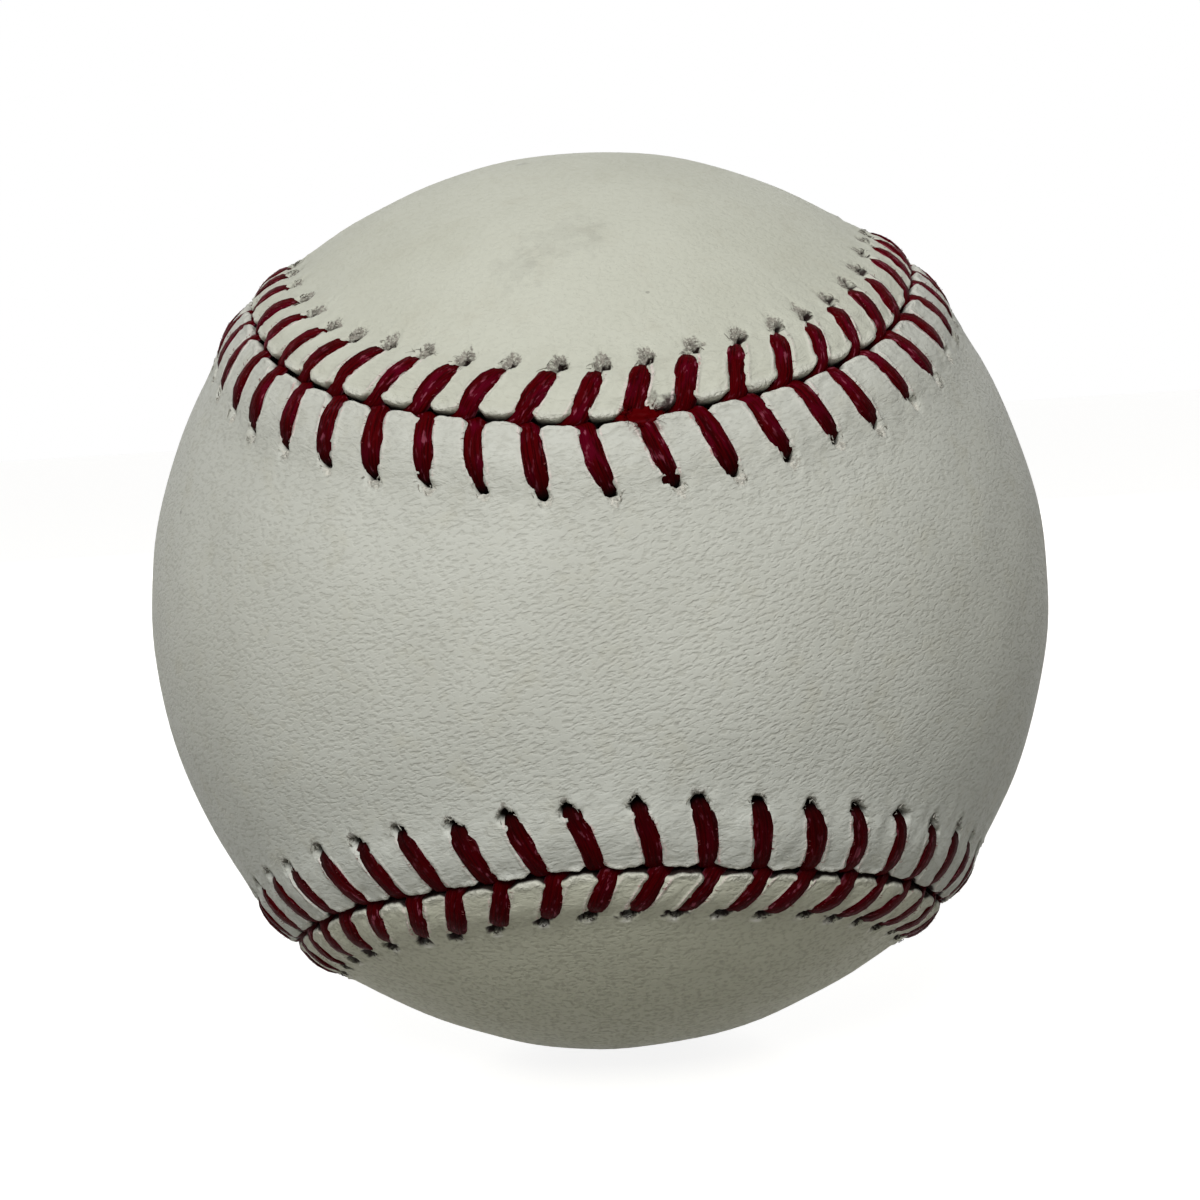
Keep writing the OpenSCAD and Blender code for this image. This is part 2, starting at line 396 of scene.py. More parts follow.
class Shader:
    """A material and short calls that add nodes to it."""

    def __init__(self, name: str) -> None:
        """Starts a material.

        Args:
            name: Name of the material.
        """
        self.material = bpy.data.materials.new(name)
        self.material.use_nodes = True
        self.nodes = self.material.node_tree.nodes
        self.links = self.material.node_tree.links
        self.surface = self.nodes["Principled BSDF"]
        self.output = self.nodes["Material Output"]

    def put(self, socket: Socket, value: Value) -> None:
        """Links a socket to another one, or sets it.

        Args:
            socket: The input.
            value: An output to link, or the value itself.
        """
        if isinstance(value, bpy.types.NodeSocket):
            self.links.new(value, socket)
        elif socket.type == "RGBA" and not isinstance(value, (int, float)) and len(value) == 3:
            socket.default_value = (*value, 1)
        else:
            socket.default_value = value

    def node(self, kind: str, values: dict[Union[int, str], Value], **settings: object) -> bpy.types.Node:
        """Adds a node.

        Args:
            kind: Blender's name of the node type.
            values: Its inputs, by name or number.
            **settings: Its options.

        Returns:
            The node.
        """
        made = self.nodes.new(kind)
        for key, option in settings.items():
            setattr(made, key, option)
        for key, value in values.items():
            self.put(made.inputs[key], value)
        return made

    def math(self, operation: str, *values: Value, clamp: bool = False) -> Socket:
        """A sum on one or two values.

        Args:
            operation: Blender's name of the operation.
            *values: Its inputs.
            clamp: Whether the result is kept between 0 and 1.

        Returns:
            The result.
        """
        made = self.node("ShaderNodeMath", dict(enumerate(values)), operation=operation, use_clamp=clamp)
        return made.outputs[0]

    def times(self, *values: Value) -> Socket:
        """Product of two values."""
        return self.math("MULTIPLY", *values)

    def plus(self, *values: Value) -> Socket:
        """Sum of two values."""
        return self.math("ADD", *values)

    def minus(self, *values: Value) -> Socket:
        """First value less the second."""
        return self.math("SUBTRACT", *values)

    def size(self, value: Value) -> Socket:
        """A value without its sign."""
        return self.math("ABSOLUTE", value)

    def axes(self) -> bpy.types.NodeOutputs:
        """The object coordinates in millimetres, one output for each axis."""
        return self.node("ShaderNodeSeparateXYZ", {0: self.place()}).outputs

    def attribute(self, name: str) -> Socket:
        """Reads one of the mesh's own attributes as a number."""
        return self.node("ShaderNodeAttribute", {}, attribute_name=name).outputs["Fac"]

    def vector(self, x: Value, y: Value, z: Value) -> Socket:
        """Joins three numbers to a vector."""
        return self.node("ShaderNodeCombineXYZ", {0: x, 1: y, 2: z}).outputs[0]

    def place(self, scale: Sequence[float] = (1, 1, 1), turn: Sequence[float] = (0, 0, 0),
              shift: Sequence[float] = (0, 0, 0)) -> Socket:
        """Object coordinates in millimetres, scaled, turned and shifted.

        Args:
            scale: Scale along each axis.
            turn: Turn about each axis, in degrees.
            shift: Shift along each axis, in millimetres.

        Returns:
            The coordinates.
        """
        coords = self.node("ShaderNodeTexCoord", {}).outputs["Object"]
        turned = self.node(
            "ShaderNodeMapping",
            {"Vector": coords, "Rotation": [math.radians(t) for t in turn], "Scale": (1 / MM,) * 3},
        ).outputs[0]
        return self.node(
            "ShaderNodeMapping", {"Vector": turned, "Location": shift, "Scale": scale}
        ).outputs[0]

    def noise(self, at: Socket, scale: float, detail: float = 2, roughness: float = 0.5,
              distortion: float = 0) -> Socket:
        """Cloudy noise between 0 and 1.

        Args:
            at: The coordinates.
            scale: Number of features a unit.
            detail: Octaves added to the first.
            roughness: Strength of each further octave.
            distortion: How far the noise bends itself.

        Returns:
            The noise.
        """
        return self.node(
            "ShaderNodeTexNoise",
            {"Vector": at, "Scale": scale, "Detail": detail, "Roughness": roughness,
             "Distortion": distortion},
        ).outputs[0]

    def cells(self, at: Socket, scale: float, feature: str = "SMOOTH_F1") -> Socket:
        """Distance pattern of scattered cells.

        Args:
            at: The coordinates.
            scale: Number of cells a unit.
            feature: Blender's name of the distance that is used.

        Returns:
            The distance.
        """
        return self.node("ShaderNodeTexVoronoi", {"Vector": at, "Scale": scale}, feature=feature).outputs[0]

    def waves(self, at: Socket, scale: float, distortion: float = 0) -> Socket:
        """Parallel rounded ridges across the first axis.

        Args:
            at: The coordinates.
            scale: Ridges a unit, roughly.
            distortion: How much the ridges waver.

        Returns:
            The ridges' height.
        """
        return self.node(
            "ShaderNodeTexWave",
            {"Vector": at, "Scale": scale, "Distortion": distortion, "Detail Scale": 1.5},
        ).outputs[1]

    def span(self, value: Value, low: float, high: float, start: float = 0, end: float = 1) -> Socket:
        """Carries a value from one span to another, held at both ends.

        Args:
            value: The value.
            low: Start of its span.
            high: End of its span.
            start: What low becomes.
            end: What high becomes.

        Returns:
            The carried value.
        """
        return self.node(
            "ShaderNodeMapRange", {0: value, 1: low, 2: high, 3: start, 4: end},
            interpolation_type="SMOOTHSTEP",
        ).outputs[0]

    def blend(self, share: Value, first: Value, second: Value, way: str = "MIX") -> Socket:
        """Mixes two colours.

        Args:
            share: Share of the second colour.
            first: The first colour.
            second: The second colour.
            way: Blender's name of the way they mix.

        Returns:
            The mixed colour.
        """
        made = self.nodes.new("ShaderNodeMix")
        made.data_type = "RGBA"
        made.blend_type = way
        self.put(made.inputs[0], share)
        self.put(made.inputs[6], first)
        self.put(made.inputs[7], second)
        return made.outputs[2]

    def bump(self, height: Socket, depth: float, strength: float = 1) -> None:
        """Gives the surface fine relief.

        Args:
            height: The relief, from 0 to 1.
            depth: Depth of the relief in millimetres.
            strength: Share of it that shows.
        """
        made = self.node("ShaderNodeBump", {"Height": height, "Distance": depth * MM, "Strength": strength})
        self.links.new(made.outputs[0], self.surface.inputs["Normal"])

    def finish(self, colour: Value, roughness: Value, **more: Value) -> bpy.types.Material:
        """Sets the surface's colour, roughness and further sockets.

        Args:
            colour: Base colour.
            roughness: Roughness.
            **more: Further sockets, with underscores for spaces.

        Returns:
            The material.
        """
        self.put(self.surface.inputs["Base Color"], colour)
        self.put(self.surface.inputs["Roughness"], roughness)
        for key, value in more.items():
            self.put(self.surface.inputs[key.replace("_", " ")], value)
        return self.material


@dataclass(frozen=True)
class Mark:
    """A small mark on the leather: where it is, how large and how strong."""

    at: Sequence[float]
    radius: float
    strength: float
    tone: Sequence[float] = (0.2, 0.19, 0.165)
    ragged: float = 0.55


@dataclass(frozen=True)
class LeatherFinish:
    """White alum-tanned horsehide with its grain, dye stains, torn holes and marks of use, with painted
    shade in the grain, cracks, holes and seam, painted highlights on the lips and flaps, and a painted tint
    of light towards the underside.
    """

    name: str
    tone: Sequence[float]
    shade: Sequence[float]
    # Painted tint of the light on the lower part of the panel
    lower_light_tint: Sequence[float]
    torn: Sequence[float]
    grain_depth: float
    grain_turn: Sequence[float]
    grain_stretch: Sequence[float]
    strokes: float
    # Strength of the painted shade in the grain's dips at the top and at the underside
    grain_shade: tuple[float, float]
    marks: Sequence[Mark] = ()
    patch_tone: Sequence[float] = (0.56, 0.55, 0.45)
    # Colour of the painted shade in the grain's dips
    grain_shade_tone: Sequence[float] = (0.3, 0.29, 0.23)
    # Painted highlight on the lips by the seam and beside the legs
    lip_highlight: Sequence[float] = (0.74, 0.735, 0.66)
    pale_dye: Sequence[float] = (0.88, 0.74, 0.7)
    deep_dye: Sequence[float] = (0.55, 0.22, 0.22)
    stroke_tone: Sequence[float] = (0.13, 0.12, 0.1)
    # Painted shade on the torn patches towards the underside
    torn_underside_shade: Sequence[float] = (0.07, 0.06, 0.045)
    # Painted shade in the needle holes and in the seam's gap
    pit_shade: Sequence[float] = (0.016, 0.007, 0.006)
    # Painted highlight on the flaps past the holes
    flap_highlight: Sequence[float] = (0.93, 0.92, 0.86)
    # Painted shade in the fine cracks
    crack_shade: Sequence[float] = (0.34, 0.32, 0.26)

    def build(self) -> bpy.types.Material:
        """Builds the leather's material.

        Returns:
            The material.
        """
        s = Shader(self.name)
        even, axes = s.place(), s.axes()
        pebbles = s.noise(s.place(self.grain_stretch, self.grain_turn), 2.0, 1.6, 0.5, 0.15)
        mottle = s.noise(even, 0.09, 3, 0.6)
        creases = s.noise(s.node("ShaderNodeUVMap", {}, uv_map="seam_run").outputs[0], 1.3, 3, 0.6, 0.8)
        crack = s.minus(1, s.span(s.size(s.minus(creases, 0.5)), 0, 0.035))
        crack = s.times(crack, s.times(s.attribute("band"), s.span(mottle, 0.4, 0.6, 0.3, 1)))

        # Painted shade in the dips of the grain, stronger towards the underside
        grain_shade_share = s.span(axes["Z"], -8, -26, *self.grain_shade)
        patches = s.noise(s.place(shift=(31, 7, 12)), 0.35, 4, 0.6)
        colour = s.blend(s.span(mottle, 0.35, 0.7), self.tone, self.shade)
        # Painted light: the panel takes another tint and brightness towards the underside
        colour = s.blend(s.span(axes["Z"], 3, -22, 0, 0.7), colour, self.lower_light_tint)
        colour = s.blend(s.times(s.span(patches, 0.5, 0.75), 0.35), colour, self.patch_tone)
        colour = s.blend(s.times(s.span(pebbles, 0.55, 0.3), grain_shade_share), colour, self.grain_shade_tone)
        # Painted highlight on the lips by the seam and beside the legs
        colour = s.blend(s.times(s.attribute("lip"), 0.55), colour, self.lip_highlight)
        colour = self.stained(s, even, colour)
        colour = self.torn_up(s, even, axes, colour)
        # Painted shade in the fine cracks by the seam
        colour = s.blend(s.times(crack, 0.06), colour, self.crack_shade)
        s.bump(self.relief(s, axes, pebbles, creases, crack), self.grain_depth)
        return s.finish(colour, s.span(pebbles, 0.3, 0.7, 0.62, 0.46), Specular_IOR_Level=0.15)

    def stained(self, s: Shader, even: Socket, colour: Socket) -> Socket:
        """Adds the marks of use and the dye that the thread has left.

        Args:
            s: The material.
            even: Object coordinates.
            colour: The hide's colour.

        Returns:
            The stained colour.
        """
        crumble = s.noise(even, 0.8, 4, 0.62)
        for mark in self.marks:
            gap = s.node("ShaderNodeVectorMath", {0: even, 1: mark.at}, operation="DISTANCE")
            stray = mark.ragged * mark.radius
            ragged = s.plus(gap.outputs["Value"], s.span(crumble, 0.3, 0.7, -stray, stray))
            spot = s.span(ragged, 1.1 * mark.radius, 0.2 * mark.radius, 0, mark.strength)
            colour = s.blend(spot, colour, mark.tone)
        uneven = s.span(s.noise(even, 3.2, 3, 0.7), 0.3, 0.7, 0.5, 1.4)
        fringe = s.span(s.times(s.attribute("dye"), uneven), 0.15, 0.8)
        dyed = s.blend(s.span(crumble, 0.55, 0.68), self.pale_dye, self.deep_dye)
        return s.blend(s.times(fringe, 0.75), colour, dyed)

    def torn_up(self, s: Shader, even: Socket, axes: bpy.types.NodeOutputs, colour: Socket) -> Socket:
        """Adds the frayed patches with painted shade towards the underside, the painted shade in the pits
        and the painted highlight on the flaps of the needle holes.

        Args:
            s: The material.
            even: Object coordinates.
            axes: The same, one output for each axis.
            colour: The leather's colour.

        Returns:
            The colour with the holes.
        """
        torn = s.attribute("torn")
        uneven = s.span(s.noise(even, 5, 3, 0.7), 0.3, 0.65, 0.2, 1.5)
        tatters = s.span(s.times(torn, uneven), 0.3, 0.9)
        upper = s.span(axes["Z"], -8, 2, 0, self.strokes)
        strokes = s.times(s.span(s.noise(even, 3.2, 2, 0.6), 0.46, 0.6), upper)
        rim = s.times(s.span(s.size(s.minus(torn, 0.4)), 0.3, 0), upper)
        frayed = s.blend(strokes, self.torn, self.stroke_tone)
        frayed = s.blend(rim, frayed, self.stroke_tone)
        # Painted shade: the torn patches turn nearly black towards the underside
        frayed = s.blend(s.span(axes["Z"], 0, -14, 0, 0.85), frayed, self.torn_underside_shade)
        colour = s.blend(tatters, colour, frayed)
        # Painted shade in the pits, in the seam's gap and on the lips beside it
        colour = s.blend(s.span(s.attribute("pit"), 0.15, 0.75), colour, self.pit_shade)
        # Painted highlight on the flaps
        return s.blend(s.attribute("flap"), colour, self.flap_highlight)

    def relief(self, s: Shader, axes: bpy.types.NodeOutputs, pebbles: Socket, creases: Socket,
               crack: Socket) -> Socket:
        """Joins the grain, the pores, the creases by the seam and the torn edges.

        Args:
            s: The material.
            axes: Object coordinates, one output for each axis.
            pebbles: The grain.
            creases: The creases across the stitched band.
            crack: Fine cracks along them.

        Returns:
            The relief's height.
        """
        even, band = s.place(), s.attribute("band")
        folds = s.place([g * 0.8 for g in self.grain_stretch], self.grain_turn, (9, 4, 2))
        wrinkles = s.noise(folds, 1.2, 3, 0.6, 1.2)
        ridge = s.minus(1, s.span(s.size(s.minus(wrinkles, 0.5)), 0, 0.05))
        pores = s.span(s.cells(even, 1.9, "F1"), 0.05, 0.16)
        plainness = s.times(s.span(axes["Y"], -36.5, -20, 1, 0.55), s.span(band, 0, 1, 1, 0.55))
        plainness = s.times(plainness, s.span(axes["Z"], -22, -30, 1, 3.6))
        height = s.times(s.span(pebbles, 0.3, 0.58, 0, 0.27), plainness)
        height = s.plus(height, s.times(pores, 0.05))
        height = s.minus(height, s.times(ridge, 0.012))
        height = s.plus(height, s.times(s.attribute("torn"), s.noise(even, 4.5, 3, 0.8)))
        height = s.plus(height, s.times(s.times(band, 0.7), creases))
        height = s.minus(height, s.times(crack, 0.1))
        folded = s.times(s.attribute("lip"), s.noise(even, 2.4, 2, 0.6, 0.6))
        return s.plus(height, s.times(folded, 2.0))


@dataclass(frozen=True)
class StrandFinish:
    """Waxed crimson thread, streaked along its fibres, with painted sheen, painted highlights and painted
    shade.
    """

    name: str
    tone: Sequence[float] = (0.089, 0.0002, 0.0019)
    # Deep red of the darker fibres, also used as painted shade on the flanks and lower legs
    deep_and_shade: Sequence[float] = (0.03, 0.0001, 0.0006)
    # Painted sheen: a pale haze on the middle of the legs
    painted_sheen: Sequence[float] = (0.115, 0.001, 0.012)
    seam_tone: Sequence[float] = (0.085, 0.0002, 0.001)
    # Painted highlight: pale pink glints and a light line along the legs' edges
    painted_highlight: Sequence[float] = (0.42, 0.1, 0.15)
    # Painted shade where the legs dive into their holes and into the seam
    recess_shade: Sequence[float] = (0.006, 0.001, 0.001)

    def build(self) -> bpy.types.Material:
        """Builds the thread's material.

        Returns:
            The material.
        """
        s = Shader(self.name)
        along, across, lot = (s.attribute(n) for n in ("along", "across", "lot"))
        level, flank = s.axes()["Z"], s.size(across)
        fibres = s.noise(s.vector(s.times(along, 0.55), s.times(across, 6.5), lot), 1, 4, 0.65, 0.3)
        tufts = s.noise(s.vector(s.times(along, 1.5), s.times(across, 2.2), lot), 1.2, 3, 0.6)
        # Cloudy noise that breaks up the painted sheen and the painted glints
        bloom = s.noise(s.vector(s.times(along, 0.8), across, lot), 1.1, 2, 0.6)
        middle = s.times(s.span(along, 0.7, 1.9), s.span(along, 4.3, 3.1))
        # Painted sheen in the middle of each leg, stronger on the upper legs
        sheen_share = s.times(s.times(s.span(bloom, 0.45, 0.68), middle), s.span(level, -20, 5, 0.35, 0.8))
        # Painted highlights: scattered glints on the legs
        glints = s.times(s.span(tufts, 0.57, 0.68), s.span(bloom, 0.45, 0.6, 0.25, 1))
        colour = s.blend(s.span(fibres, 0.38, 0.58), self.deep_and_shade, self.tone)
        for share, tone in (
            (sheen_share, self.painted_sheen),
            (s.span(along, 1.7, 0.7, 0, 0.75), self.seam_tone),
            # Painted shade on the legs' flanks
            (s.span(flank, 0.45, 0.85, 0, 0.15), self.deep_and_shade),
            # Painted highlight along the legs' edges
            (s.span(flank, 0.86, 1, 0, 0.4), self.painted_highlight),
            # Painted shade on the legs towards the underside of the ball
            (s.span(level, 4, -16, 0, 0.4), self.deep_and_shade),
            # Painted highlights: the glints
            (s.times(glints, 0.6), self.painted_highlight),
            # Painted shade where the legs dive into the leather
            (s.attribute("end"), self.recess_shade),
        ):
            colour = s.blend(share, colour, tone)
        s.bump(s.plus(fibres, s.times(tufts, 0.5)), 0.11)
        return s.finish(colour, s.span(tufts, 0.35, 0.7, 0.5, 0.35), Specular_IOR_Level=0.01)


@dataclass(frozen=True)
class FibreFinish:
    """Loose fibre, of torn leather or of the thread, paler and darker along its length, with painted shade
    towards the underside.
    """

    name: str
    root: Sequence[float]
    tip: Sequence[float]
    # Share of painted shade on the fibres towards the underside
    underside_shade: float = 0
    underside_shade_tone: Sequence[float] = (0.05, 0.045, 0.035)

    def build(self) -> bpy.types.Material:
        """Builds the fibre's material.

        Returns:
            The material.
        """
        s = Shader(self.name)
        cloud = s.noise(s.place(), 1.7, 3, 0.6)
        paling = s.times(s.attribute("along"), 0.7)
        share = s.math("ADD", paling, s.span(cloud, 0.3, 0.7, -0.2, 0.5), clamp=True)
        colour = s.blend(share, self.root, self.tip)
        # Painted shade towards the underside
        colour = s.blend(s.span(s.axes()["Z"], 2, -18, 0, self.underside_shade), colour, self.underside_shade_tone)
        s.bump(s.noise(s.place(), 9, 2, 0.6), 0.03)
        return s.finish(colour, s.span(cloud, 0.3, 0.7, 0.85, 0.65), Specular_IOR_Level=0.12)


@dataclass(frozen=True)
class CorkFinish:
    """Pressed cork: pale and dark crumbs, pitted where they meet."""

    name: str = "pressed_cork"

    def build(self) -> bpy.types.Material:
        """Builds the cork's material.

        Returns:
            The material.
        """
        s = Shader(self.name)
        crumbs = s.cells(s.place(), 0.9, "F1")
        specks = s.noise(s.place(shift=(5, 1, 3)), 2.2, 4, 0.7)
        colour = s.blend(s.span(crumbs, 0.1, 0.7), (0.42, 0.24, 0.11), (0.27, 0.14, 0.06))
        colour = s.blend(s.span(specks, 0.58, 0.7), colour, (0.09, 0.045, 0.02))
        s.bump(s.minus(specks, crumbs), 0.25)
        return s.finish(colour, s.span(specks, 0.3, 0.7, 0.75, 0.95), Specular_IOR_Level=0.3)


@dataclass(frozen=True)
class RubberFinish:
    """Moulded rubber with a faint bloom and the fine grit of its mould."""

    name: str
    tone: Sequence[float]
    bloom: Sequence[float]

    def build(self) -> bpy.types.Material:
        """Builds the rubber's material.

        Returns:
            The material.
        """
        s = Shader(self.name)
        cloud = s.noise(s.place(), 0.3, 4, 0.6)
        grit = s.noise(s.place(), 5, 2, 0.5)
        s.bump(s.plus(grit, s.times(cloud, 0.5)), 0.05)
        return s.finish(s.blend(s.span(cloud, 0.4, 0.8), self.tone, self.bloom),
                        s.span(cloud, 0.3, 0.7, 0.42, 0.6), Specular_IOR_Level=0.45)


@dataclass(frozen=True)
class WindingFinish:
    """Yarn wound round the ball in crossing turns, each turn plied and fuzzy."""

    name: str
    tone: Sequence[float]
    shadow: Sequence[float]
    turns: float
    fuzz: float

    def build(self) -> bpy.types.Material:
        """Builds the winding's material.

        Returns:
            The material.
        """
        s = Shader(self.name)
        ways = ((0, 0, 0), (50, 35, 20), (20, 80, 60))
        lays = [s.waves(s.place(turn=way), self.turns, 1.4) for way in ways]
        patch = s.noise(s.place(), 0.11, 2, 0.5)
        other = s.noise(s.place(shift=(20, 3, 8)), 0.11, 2, 0.5)
        top = s.blend(s.span(patch, 0.49, 0.51), lays[0], lays[1])
        top = s.blend(s.span(other, 0.52, 0.54), top, lays[2])
        hairs = s.noise(s.place((1, 3, 1), (20, 40, 0)), 3.5, 4, 0.7)
        colour = s.blend(s.span(top, 0.05, 0.5), self.shadow, self.tone)
        colour = s.blend(s.span(hairs, 0.5, 0.75, 0, 0.4), colour, self.shadow)
        s.bump(s.plus(top, s.times(hairs, self.fuzz)), 0.3)
        return s.finish(colour, s.span(hairs, 0.3, 0.7, 0.95, 0.8), Specular_IOR_Level=0.15,
                        Sheen_Weight=0.3, Sheen_Roughness=0.5)


LayerFinish = Union[CorkFinish, RubberFinish, WindingFinish]


def make_mesh(bm: bmesh.types.BMesh, name: str) -> bpy.types.Mesh:
    """Turns a bmesh into a mesh and frees it.

    Args:
        bm: The bmesh.
        name: Name of the mesh.

    Returns:
        The mesh.
    """
    mesh = bpy.data.meshes.new(name)
    bm.to_mesh(mesh)
    bm.free()
    return mesh


def joined_mesh(parts: Sequence[bpy.types.Mesh], name: str) -> bpy.types.Mesh:
    """Joins meshes to one, with their vertices one after the other.

    Args:
        parts: The meshes; one may be named many times.
        name: Name of the joined mesh.

    Returns:
        The joined mesh. The parts are removed.
    """
    bm = bmesh.new()
    for part in parts:
        bm.from_mesh(part)
    for part in set(parts):
        bpy.data.meshes.remove(part)
    return make_mesh(bm, name)


def tube(corners: int, tip: float, cuts: int) -> bpy.types.Mesh:
    """A straight capped tube along Z, from 0 to 1, that strands and fibres are bent from.

    Args:
        corners: Number of its sides.
        tip: Radius of its upper end; the lower one has 1.
        cuts: Rings between its ends.

    Returns:
        The tube.
    """
    bm = bmesh.new()
    bmesh.ops.create_cone(
        bm, cap_ends=True, segments=corners, radius1=1, radius2=tip, depth=1,
        matrix=Matrix.Translation((0, 0, 0.5)),
    )
    long = [e for e in bm.edges if abs(e.verts[0].co.z - e.verts[1].co.z) > 0.5]
    bmesh.ops.subdivide_edges(bm, edges=long, cuts=cuts)
    return make_mesh(bm, "tube")


def add_object(name: str, data: bpy.types.ID) -> bpy.types.Object:
    """Adds an object to the scene.

    Args:
        name: Name of the object.
        data: Its mesh, lamp or camera.

    Returns:
        The object.
    """
    made = bpy.data.objects.new(name, data)
    bpy.context.scene.collection.objects.link(made)
    return made


def spread_attributes(mesh: bpy.types.Mesh, **numbers: Array) -> None:
    """Writes numbers for each vertex of a mesh.

    Args:
        mesh: The mesh.
        **numbers: The numbers, by the name that the material reads.
    """
    for name, values in numbers.items():
        layer = mesh.attributes.new(name, "FLOAT", "POINT")
        layer.data.foreach_set("value", np.ascontiguousarray(values, np.float32).ravel())


def vertex_array(mesh: bpy.types.Mesh) -> Array:
    """Reads the places of a mesh's vertices.

    Args:
        mesh: The mesh.

    Returns:
        Three numbers for each vertex, in the mesh's own unit.
    """
    flat = np.empty(len(mesh.vertices) * 3, np.float32)
    mesh.vertices.foreach_get("co", flat)
    return flat.reshape(-1, 3).astype(float)


def set_vertices(mesh: bpy.types.Mesh, points: Array) -> None:
    """Places a mesh's vertices.

    Args:
        mesh: The mesh.
        points: Places in millimetres.
    """
    mesh.vertices.foreach_set("co", (points * MM).astype(np.float32).ravel())


def make_piece(name: str, mesh: bpy.types.Mesh, material: bpy.types.Material,
               nodes: Sequence[str] = ()) -> bpy.types.Object:
    """Puts a finished mesh in the scene as a piece of the ball.

    Args:
        name: Name of the piece.
        mesh: Its mesh, in place.
        material: Its material.
        nodes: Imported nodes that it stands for.

    Returns:
        The piece.
    """
    mesh.materials.append(material)
    mesh.polygons.foreach_set("use_smooth", [True] * len(mesh.polygons))
    mesh.update()
    piece = add_object(name, mesh)
    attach(piece, "root")
    if nodes:
        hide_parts(*nodes)
    LOG.info("%s: %d faces", name, len(mesh.polygons))
    return piece


@dataclass
class LeatherPanel:
    """One figure-eight panel of the cover, puckered by its stitches."""

    sewing: Sewing
    side: PanelSide
    finish: LeatherFinish
    hole: HoleShape
    lining_r: float = 35.91
    taper: float = 0.4
    lip_gap: float = 0.17
    # How the open seam wanders: height, turns in radians a stitch, start
    seam_sways: Sequence[tuple[float, float, float]] = ((0.05, 1.7, 0), (0.04, 0.61, 1))
    pull_back: float = 0.36
    bank: float = 0.32
    pit_depth: float = 1.0
    talls: Scatter = Scatter(1, 0.07, 0.86, 1.14)
    unevens: Sequence[Waver] = (Waver(0.03, 9, 21), Waver(0.02, 20, 22))
    pillow_waver: Waver = Waver(0.03, 1.7, 5)
    edge_waver: Waver = Waver(0.05, 1.1, 15)
    ragged_waver: Waver = Waver(0.16, 0.9, 11)
    rim_waver: Waver = Waver(0.03, 0.55, 12)
    torn_waver: Waver = Waver(0.07, 0.5, 13)
    flap_waver: Waver = Waver(0.05, 1.3, 16)
    pucker_waver: Waver = Waver(0.04, 0.7, 14)
    fold_waver: Waver = Waver(0.06, 1.3, 24)
    # The pillows between the legs: how far they sag beside a leg, from which share of their width
    sag: float = 0.1
    flat_share: float = 0.55
    bank_under: float = 0.5
    groove_clear: float = 0.02
    # The torn patch past each hole, its raised rim and its flap
    torn_aside: float = 0.1
    torn_depth: float = 0.17
    rim_ring: float = 1.4
    rim_h: float = 0.045
    flap_h: float = 0.07
    flap_l: float = 0.14
    dye_w: float = 0.18
    columns: int = 18
    column_pull: float = 0.3
    spine_reach: float = 112
    crease_scale: float = 0.45
    wall_rows: int = 1
    # Painted shade on the first rows of the lips beside the seam's gap
    lip_shade: Sequence[float] = (0.7, 0.4, 0.15)
    inner_rows: Sequence[float] = (1, 0.67, 0.33, 0)
    band_rows: Sequence[float] = (
        0, 0.05, 0.13, 0.25, 0.42, 0.65, 0.92, 1.22, 1.55, 1.9, 2.27, 2.65, 3.03, 3.4, 3.7, 3.95,
        4.15, 4.35, 4.55, 4.75, 4.95, 5.15, 5.35, 5.6, 5.9, 6.3, 6.8, 7.4, 8.1, 9.2,
    )
    field_steps: int = 16
    seed: int = 3

    def spine(self, j: Array) -> Array:
        """The line in the middle of the panel on which the columns from both edges end.

        Args:
            j: Number of the stitch, whole or between.

        Returns:
            Unit vectors from the ball's centre.
        """
        half = self.sewing.stitches / 2
        tip = half / 2 if self.side is PanelSide.FRONT else 0
        away = np.abs(np.mod(j - tip + half, 2 * half) - half) / half
        angle = np.radians(self.spine_reach * np.cos(np.pi * away))
        nought = np.zeros_like(angle)
        if self.side is PanelSide.FRONT:
            return np.stack([-np.sin(angle), -np.cos(angle), nought], -1)
        return np.stack([nought, np.cos(angle), np.sin(angle)], -1)

    def relief(self, w: Array, half: Array, v: Array, j: Array, points: Array) -> dict[str, Array]:
        """Height of the leather and the masks that dress it.

        Args:
            w: True sideways distance from the nearest leg.
            half: True half of the pitch there.
            v: Distance from the seam.
            j: Whole number of the nearest stitch.
            points: Directions of the places.

        Returns:
            The height over the plain leather and one mask for each finish.
        """
        sew = self.sewing
        whole = np.mod(j, sew.stitches).astype(int)
        rng = np.random.default_rng(self.seed + self.side.value)
        tall = self.talls.draw(rng, sew.stitches)
        stain = rng.uniform(0, 1, sew.stitches) ** 4
        hole = sew.hole_v[self.side] + sew.reach[self.side][whole]
        strand = sew.strand_w / 2 * sew.plump[self.side][whole]
        strand = strand * (1 - self.taper * smoothstep(hole - 1.1, hole + 0.15, v))
        out = np.abs(w)
        at_seam = points * sew.seam.cover_r
        swell = sew.swell(v, self.side)

        # Each pillow is flat in its middle, sags beside its legs and runs over into the next one
        dome = 1 - self.sag * np.clip(out / half - self.flat_share, -1, 0) ** 2
        share = np.clip(out / half, 0, 1)
        beyond = np.mod(whole + np.sign(w).astype(int), sew.stitches)
        lift = tall[whole] + (tall[beyond] - tall[whole]) * share**2 / 2
        pillow = swell * dome * lift
        pillow = pillow + self.pillow_waver.at(at_seam) * np.clip(swell * 2, 0, 1)
        # The strand has pressed a groove, which closes again past its hole
        groove = sew.strand_middle(v, self.side) - sew.strand_t / 2 + self.groove_clear
        groove = groove + (pillow - groove) * smoothstep(hole - 0.1, hole + 0.7, v)
        edge = strand - self.bank_under + self.edge_waver.at(at_seam)
        side_on = smoothstep(edge, edge + self.bank, out)
        height = groove + (pillow - groove) * side_on

